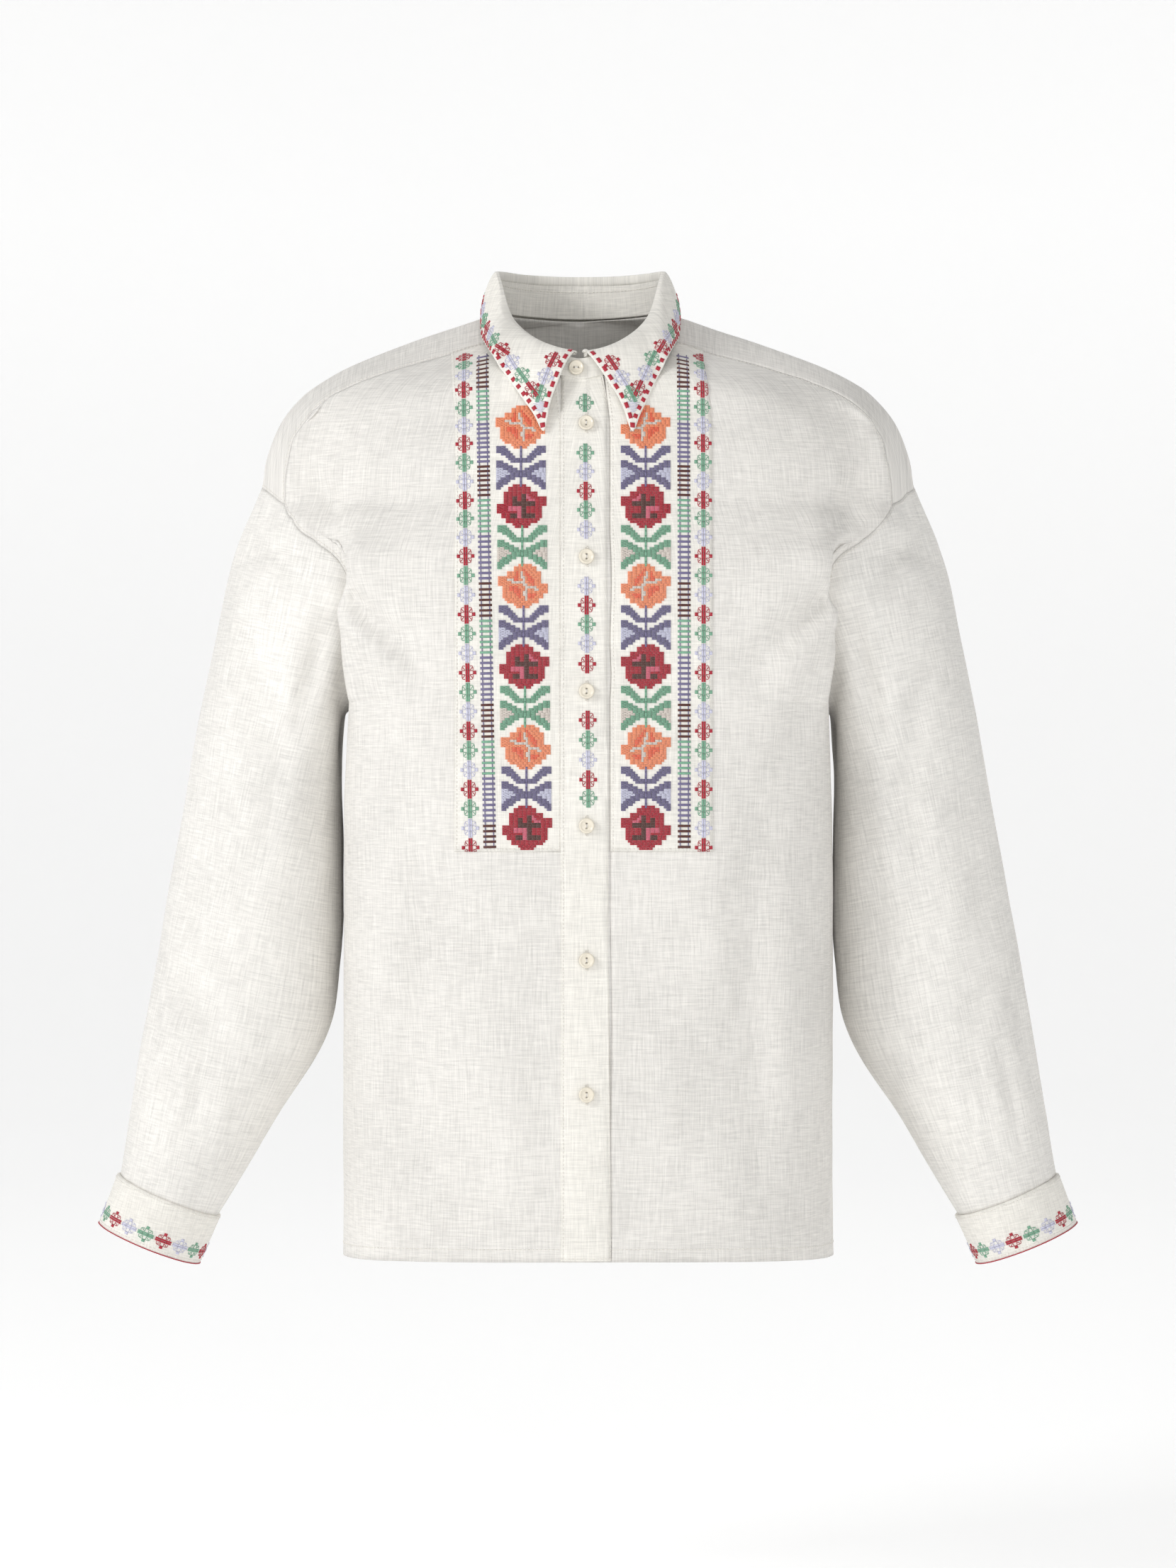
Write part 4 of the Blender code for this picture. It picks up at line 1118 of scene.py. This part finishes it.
def embroider_bib(side):
    """One chest panel: big flowers with leaves, a ladder and a chain of small motifs."""
    name = "bib_right" if side == 0 else "bib_left"
    trees = [made[name + "_tree"], made["form_tree"]]
    whole = bmesh.new()
    across = FLOWER_WIDTH / len(OPEN_ROSE[0])
    roses = {
        "O": charted(OPEN_ROSE, across, CROSS, mirrored=side == 1),
        "R": charted(CLOSED_ROSE, across, CROSS, mirrored=side == 1),
    }
    leaves = [leafy(FLOWER_WIDTH / len(LEAVES[0]), stem, fill) for stem, fill in ("PL", "GW")]
    for i in range(6):
        z = FLOWER_TOP - FLOWER_PITCH * i
        put(whole, roses["OR"[i % 2]], seen_at(trees, leaning(MAIN_BANDS[side], z, side), z))
        if i < 5:
            z -= FLOWER_PITCH / 2
            put(whole, leaves[i % 2], seen_at(trees, leaning(MAIN_BANDS[side], z, side), z))

    column = cloth_column(trees, side, LADDERS[side], CHAIN_BOTTOM, LADDER_TOP)
    rungs = {letter: block(colour_of(letter), 0.0100, 0.0021) for letter in "PGB"}
    for i, (place, along) in enumerate(rising(column)):
        letter = "B" if i < 5 else "PPPPPPPPPGGGGGGGBBBBBBB"[(i - 5) % 23]
        put(whole, rungs[letter], close_to(trees[0], place, along))
    rail = bmesh.new()
    for shift in (-0.00315, 0.00315):
        stroke(rail, (shift, -RUNG_PITCH / 2), (shift, RUNG_PITCH / 2), 0.0009, 0.0009, colour_of("P"))
    rail = as_mesh(rail, "rail")
    for place, along in rising(column, 0.5):
        put(whole, rail, close_to(trees[0], place, along))

    column = cloth_column(trees, side, CHAINS[side], CHAIN_BOTTOM, CHAIN_TOP + 0.01)
    small = [diamond(colour_of(letter)) for letter in "RLG"]
    for i, (place, along) in enumerate(walked(column, CHAIN_PITCH)[:CHAIN_COUNT]):
        put(whole, small[i % 3], close_to(trees[0], place, along))
    as_threads(whole, "embroidery_" + name)


def embroider_placket():
    whole = bmesh.new()
    trees = [made["placket_tree"], made["form_tree"]]
    for row, letter in PLACKET_MOTIFS:
        across = MOTIF_LINE + (row - MOTIF_ROW) / MOTIF_SPAN * MOTIF_DRIFT
        x = (across - PICTURE[0] / 2) * FRONT_PIXEL
        z = CAMERA_HEIGHT - (row - PICTURE[1] / 2) * FRONT_PIXEL
        put(whole, diamond(colour_of(letter)), seen_at(trees, x, z))
    as_threads(whole, "embroidery_placket")


def inside(line, tree, inset):
    """A line along a border, moved to the side where the cloth is."""
    both = [beside(line, tree, inset), beside(line, tree, -inset)]
    return max(both, key=lambda moved: sum((a - b).length for a, b in zip(moved, line)))


def collar_edges():
    """The fall's free edge from tip to tip, its two front edges from the tips up, and its fold."""
    loop = border_runs(made["collar_fall"])[0][:-1]
    places = range(len(loop))
    halves = [[i for i in places if loop[i].x * side > 0] for side in (1, -1)]
    tips = sorted(min(half, key=lambda i: loop[i].z) for half in halves)
    ways = [loop[tips[0] : tips[1] + 1], loop[tips[1] :] + loop[: tips[0] + 1]]
    ways.sort(key=lambda line: max(abs(point.x) for point in line))
    inner, outer = ways
    if outer[0].x > 0:
        outer.reverse()
    if inner[0].x > 0:
        inner.reverse()
    third = len(inner) // 3
    left = min(range(third), key=lambda i: abs(inner[i].x - BUTTON_LINE))
    inner.reverse()
    right = min(range(third), key=lambda i: abs(inner[i].x - BUTTON_LINE))
    return outer, inner[::-1][: left + 1], inner[: right + 1], inner[right : len(inner) - left]


def embroider_collar():
    """Red squares along the collar's edges and a chain of small motifs inside them."""
    tree = made["collar_fall_tree"]
    outer, left, right, _ = made["collar_edges"]
    whole = bmesh.new()
    red = colour_of("R")
    small = block(red, 0.0034, 0.0038)
    edge = inside(outer, tree, COLLAR_EDGE)
    count = round((line_length(edge) - 2 * SQUARE_FIRST) / SQUARE_PITCH)
    pitch = (line_length(edge) - 2 * SQUARE_FIRST) / count
    for place, along in walked(edge, pitch, SQUARE_FIRST)[: count + 1]:
        put(whole, small, close_to(tree, place, along))
    large = block(red, 0.0030, 0.0052)
    for front in (left, right):
        for place, along in walked(inside(front, tree, COLLAR_EDGE), BLOCK_PITCH, SQUARE_FIRST):
            put(whole, large, close_to(tree, place, along))
    corner = block(red, 0.0040, 0.0044)
    stripes = lens(colour_of("L"))
    for front in (left, right):
        outside = outer if front is left else outer[::-1]
        upward = (walked(front, 0.02)[1][0] + walked(outside, 0.02)[1][0]) / 2 - front[0]
        upward.normalize()
        put(whole, corner, close_to(tree, tree.find_nearest(front[0] + upward * 0.0045)[0], upward))
        put(whole, stripes, close_to(tree, tree.find_nearest(front[0] + upward * 0.0200)[0], upward))
    motifs = [diamond(colour_of(letter)) for letter in "RGL"]
    row = inside(outer, tree, COLLAR_ROW)
    length = line_length(row)
    count = 3 * round((length - 2 * COLLAR_FIRST) / COLLAR_PITCH / 3) + 1
    pitch = (length - 2 * COLLAR_FIRST) / (count - 1)
    for i, (place, along) in enumerate(walked(row, pitch, COLLAR_FIRST)[:count]):
        put(whole, motifs[i % 3], close_to(tree, place, along))
    for front in (left, right):
        places = walked(inside(front, tree, COLLAR_ROW), COLLAR_PITCH, COLLAR_FRONT_FIRST)[:3]
        for i, (place, along) in enumerate(places):
            put(whole, motifs[(1, 2, 0)[i]], close_to(tree, place, along))
    as_threads(whole, "embroidery_collar")


def cuff_edge(name, top):
    """A cuff's upper or lower border, walked from its outermost point round the front."""
    loops = sorted(border_runs(made[name])[:2], key=lambda line: sum(p.z for p in line) / len(line))
    loop = loops[1 if top else 0][:-1]
    first = max(range(len(loop)), key=lambda i: abs(loop[i].x))
    loop = loop[first:] + loop[: first + 1]
    if loop[len(loop) // 4].y > loop[3 * len(loop) // 4].y:
        loop.reverse()
    return loop


def embroider_cuff(name):
    """A chain of small motifs round the cuff and a red whipped edge."""
    tree = made[name + "_tree"]
    whole = bmesh.new()
    edge = cuff_edge(name, False)
    row = inside(edge, tree, CUFF_ROW)
    count = 3 * round(line_length(row) / CUFF_PITCH / 3)
    pitch = line_length(row) / count
    motifs = [diamond(colour_of(letter), 0.95) for letter in "LGR"]
    for i, (place, along) in enumerate(walked(row, pitch, pitch * 0.3)[:count]):
        put(whole, motifs[i % 3], close_to(tree, place, along))
    whip = bmesh.new()
    stroke(whip, (0.0, -0.0012), (0.0, 0.0012), 0.0016, 0.0007, colour_of("R"))
    whip = as_mesh(whip, "whip")
    for place, along in walked(edge, WHIP_PITCH):
        put(whole, whip, close_to(tree, place, along))
    as_threads(whole, "embroidery_" + name)


def dashes(whole, line, tree, length=0.0021, pitch=0.0031):
    dash = bmesh.new()
    stroke(dash, (0.0, -length / 2), (0.0, length / 2), 0.0007, 0.0003, colour_of("T"))
    dash = as_mesh(dash, "dash")
    for place, along in walked(line, pitch):
        put(whole, dash, close_to(tree, place, along))
    bpy.data.meshes.remove(dash)


def sew():
    """Rows of stitches beside the seams, round the panels, along the band and above the hem."""
    form, tree = made["form"], made["form_tree"]
    whole = bmesh.new()
    for first, second in (({0, 1}, {3}), ({2}, {3}), ({4, 5}, {0, 1, 2, 3})):
        for line in seam_runs(form, first, second):
            if line_length(line) > 0.03:
                dashes(whole, beside(line, tree, SEAM_STITCH), tree)
    for name in ("bib_right", "bib_left"):
        border = border_runs(made[name])[0]
        dashes(whole, inside(border, made[name + "_tree"], BIB_STITCH), made[name + "_tree"])
    band = made["placket_tree"]
    dashes(whole, inside(border_runs(made["placket"])[0], band, PLACKET_STITCH), band)
    for name in ("cuff_right", "cuff_left"):
        for top, inset in ((True, 0.0016), (False, 0.0030)):
            dashes(whole, inside(cuff_edge(name, top), made[name + "_tree"], inset), made[name + "_tree"])
    stand = made["collar_stand"]
    within = surface_points(stand) - surface_normals(stand) * (DOUBLE_THICKNESS + 0.0001)
    lining = BVHTree.FromPolygons(
        [Vector(point) for point in within], [tuple(face.vertices)[::-1] for face in stand.polygons]
    )
    centre = Vector((COLLAR_CENTRE[0], COLLAR_CENTRE[1], STAND_STITCH))
    line = []
    for i in range(60):
        turn = math.radians(-70 + 140 * i / 59)
        hit = lining.ray_cast(centre, Vector((math.sin(turn), math.cos(turn), 0.0)))[0]
        if hit is not None:
            line.append(hit)
    dashes(whole, line, lining)
    as_threads(whole, "stitches")

    whole = bmesh.new()
    hem = [line for line in border_runs(form) if max(point.z for point in line) < -0.65]
    for line in hem:
        if min(abs(point.x) for point in line) < 0.1:
            dashes(whole, inside(line, tree, HEM_BAND), tree)
    as_threads(whole, "stitches_hem")


def make_buttonholes():
    """A worked slit behind each button on the band."""
    whole = bmesh.new()
    hole = bmesh.new()
    linen = colour_of("T")
    for i in range(19):
        z = (i - 9) * 0.0008
        for side in (-1.0, 1.0):
            stroke(hole, (side * 0.0003, z), (side * 0.0014, z), 0.0008, 0.0004, linen)
    for end in (-1.0, 1.0):
        stroke(hole, (-0.0014, end * HOLE_HALF), (0.0014, end * HOLE_HALF), 0.0010, 0.0005, linen)
    hole = as_mesh(hole, "hole")
    trees = [made["placket_tree"], made["form_tree"]]
    for i in range(2, 8):
        low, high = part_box("button_%d" % i)
        middle = (low + high) / 2
        put(whole, hole, seen_at(trees, middle.x, middle.z))
    as_threads(whole, "buttonholes")


def make_button(name, finish):
    """A round button with a raised rim, a dished face, two holes and its thread."""
    points = surface_points(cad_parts[name].data)
    low, high = points.min(0), points.max(0)
    middle = Vector((low + high) / 2)
    spread = np.linalg.eigh(np.cov((points - points.mean(0)).T))[1][:, 0]
    facing = Vector(spread)
    if facing.y > 0:
        facing.negate()
    radius = (high[0] - low[0]) / 2
    half = BUTTON_THICK / 2
    profile = (
        (0.0, -half), (0.80, -half), (0.95, -half * 0.5), (1.0, 0.0), (0.98, half * 0.55), (0.90, half),
        (0.80, half * 0.98), (0.70, half * 0.62), (0.58, half * 0.38), (0.0, half * 0.30),
    )
    shape = bmesh.new()
    turned(shape, [(share * radius, height) for share, height in profile], 40, 0.000001)
    disc = as_mesh(shape, "disc")
    cutter = bmesh.new()
    for side in (-1.0, 1.0):
        place = Matrix.Translation((0.0, side * radius * 0.26, 0.0))
        size = {"radius1": radius * 0.13, "radius2": radius * 0.13, "depth": half * 6}
        bmesh.ops.create_cone(cutter, cap_ends=True, segments=16, matrix=place, **size)
    holder = bpy.data.objects.new("cutter", as_mesh(cutter, "cutter"))
    bpy.context.scene.collection.objects.link(holder)
    disc = evaluated_mesh(disc, "BOOLEAN", operation="DIFFERENCE", object=holder, solver="EXACT")
    bpy.data.objects.remove(holder)

    shape = bmesh.new()
    shape.from_mesh(disc)
    for face in shape.faces:
        face.material_index = 0
    first = len(shape.verts)
    for shift in (-0.055, 0.055):
        start, end = (shift * radius, -radius * 0.30), (shift * radius, radius * 0.30)
        stroke(shape, start, end, radius * 0.11, half * 0.45, 1)
    shape.verts.ensure_lookup_table()
    for i in range(first, len(shape.verts)):
        shape.verts[i].co.z += half * 0.38
    upright = Vector((0.0, 0.0, 1.0))
    up = (upright - facing * upright.dot(facing)).normalized()
    across = up.cross(facing)
    if name == "button_1":
        across, up = up, -across
    turn = Matrix((across, up, facing)).transposed()
    bmesh.ops.transform(shape, matrix=Matrix.Translation(middle) @ turn.to_4x4(), verts=shape.verts)
    piece = as_piece(as_mesh(shape, name), name + "_detail", [finish, made["threads"][colour_of("T")]])
    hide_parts(name)


def colour_setting(label, about, value):
    return bpy.props.FloatVectorProperty(
        name=label, description=about, default=value, size=3, min=0.0, max=1.0, subtype="COLOR"
    )


class ShirtSettings(bpy.types.PropertyGroup):
    """What a user of the shirt would change."""

    crease_strength: bpy.props.FloatProperty(
        name="Creases", description="Share of the modelled crease depth", default=1.0, min=0.0, max=1.6
    )
    body_linen: colour_setting("Body linen", "Colour of the fronts, back and yoke", (0.760, 0.738, 0.700))
    sleeve_linen: colour_setting("Sleeve linen", "Colour of the sleeves", (0.800, 0.780, 0.742))
    double_linen: colour_setting(
        "Double linen", "Colour of the collar, cuffs and panels", (0.830, 0.806, 0.750)
    )
    button_colour: colour_setting("Buttons", "Colour of the buttons", (0.780, 0.720, 0.600))
    light: bpy.props.FloatProperty(
        name="Light", description="Strength of the studio's light", default=1.0, min=0.1, max=3.0
    )


def settings():
    return bpy.context.scene.shirt_settings


class SHIRT_OT_body(bpy.types.Operator):
    """Make the fronts, back, yoke and sleeves"""

    bl_idname = "shirt.body"
    bl_label = "Body and sleeves"

    def execute(self, context):
        chosen = settings()
        dress_sewn(chosen.crease_strength, {"body": chosen.body_linen, "sleeve": chosen.sleeve_linen})
        return {"FINISHED"}


class SHIRT_OT_panels(bpy.types.Operator):
    """Make the chest panels and the buttoned band"""

    bl_idname = "shirt.panels"
    bl_label = "Panels and band"

    def execute(self, context):
        dress_bibs(settings().double_linen)
        dress_placket()
        return {"FINISHED"}


class SHIRT_OT_collar(bpy.types.Operator):
    """Make the collar and cuffs"""

    bl_idname = "shirt.collar"
    bl_label = "Collar and cuffs"

    def execute(self, context):
        for name in ("cuff_right", "cuff_left"):
            dress_doubled(name, "tube", 3)
        for name in ("collar_stand", "collar_fall"):
            dress_doubled(name, "ring", 3)
        return {"FINISHED"}


class SHIRT_OT_embroidery(bpy.types.Operator):
    """Make the embroidery on the panels, band, collar and cuffs"""

    bl_idname = "shirt.embroidery"
    bl_label = "Embroidery"

    def execute(self, context):
        prepare_threads()
        for side in (0, 1):
            embroider_bib(side)
        embroider_placket()
        embroider_collar()
        for name in ("cuff_right", "cuff_left"):
            embroider_cuff(name)
        return {"FINISHED"}


class SHIRT_OT_sewing(bpy.types.Operator):
    """Make the rows of stitches and the buttonholes"""

    bl_idname = "shirt.sewing"
    bl_label = "Sewing"

    def execute(self, context):
        sew()
        make_buttonholes()
        return {"FINISHED"}


class SHIRT_OT_buttons(bpy.types.Operator):
    """Make the seven buttons"""

    bl_idname = "shirt.buttons"
    bl_label = "Buttons"

    def execute(self, context):
        finish = button_finish(settings().button_colour)
        for i in range(1, 8):
            make_button("button_%d" % i, finish)
        return {"FINISHED"}


class SHIRT_OT_sheets(bpy.types.Operator):
    """An empty step that makes nothing"""

    bl_idname = "shirt.sheets"
    bl_label = "Cloth sheets"

    def execute(self, context):
        return {"FINISHED"}


class SHIRT_OT_stage(bpy.types.Operator):
    """Make the pale studio, its lights and the camera"""

    bl_idname = "shirt.stage"
    bl_label = "Studio"

    def execute(self, context):
        set_stage((0.80, 0.80, 0.797), settings().light)
        return {"FINISHED"}


class SHIRT_PT_panel(bpy.types.Panel):
    """The shirt's settings and steps"""

    bl_label = "Shirt"
    bl_idname = "SHIRT_PT_panel"
    bl_space_type = "VIEW_3D"
    bl_region_type = "UI"
    bl_category = "Shirt"

    def draw(self, context):
        chosen = context.scene.shirt_settings
        for name in ("body_linen", "sleeve_linen", "double_linen", "button_colour"):
            self.layout.prop(chosen, name)
        self.layout.prop(chosen, "crease_strength")
        self.layout.prop(chosen, "light")
        for step in STEPS:
            self.layout.operator(step.bl_idname)


STEPS = (
    SHIRT_OT_body,
    SHIRT_OT_panels,
    SHIRT_OT_collar,
    SHIRT_OT_embroidery,
    SHIRT_OT_sewing,
    SHIRT_OT_buttons,
    SHIRT_OT_sheets,
    SHIRT_OT_stage,
)
CLASSES = (ShirtSettings,) + STEPS + (SHIRT_PT_panel,)


def register():
    for item in CLASSES:
        bpy.utils.register_class(item)
    bpy.types.Scene.shirt_settings = bpy.props.PointerProperty(type=ShirtSettings)


def unregister():
    del bpy.types.Scene.shirt_settings
    for item in reversed(CLASSES):
        bpy.utils.unregister_class(item)


def main():
    register()
    bpy.ops.shirt.body()
    bpy.ops.shirt.panels()
    bpy.ops.shirt.collar()
    bpy.ops.shirt.embroidery()
    bpy.ops.shirt.sewing()
    bpy.ops.shirt.buttons()
    bpy.ops.shirt.sheets()
    bpy.ops.shirt.stage()


if __name__ == "__main__":
    main()
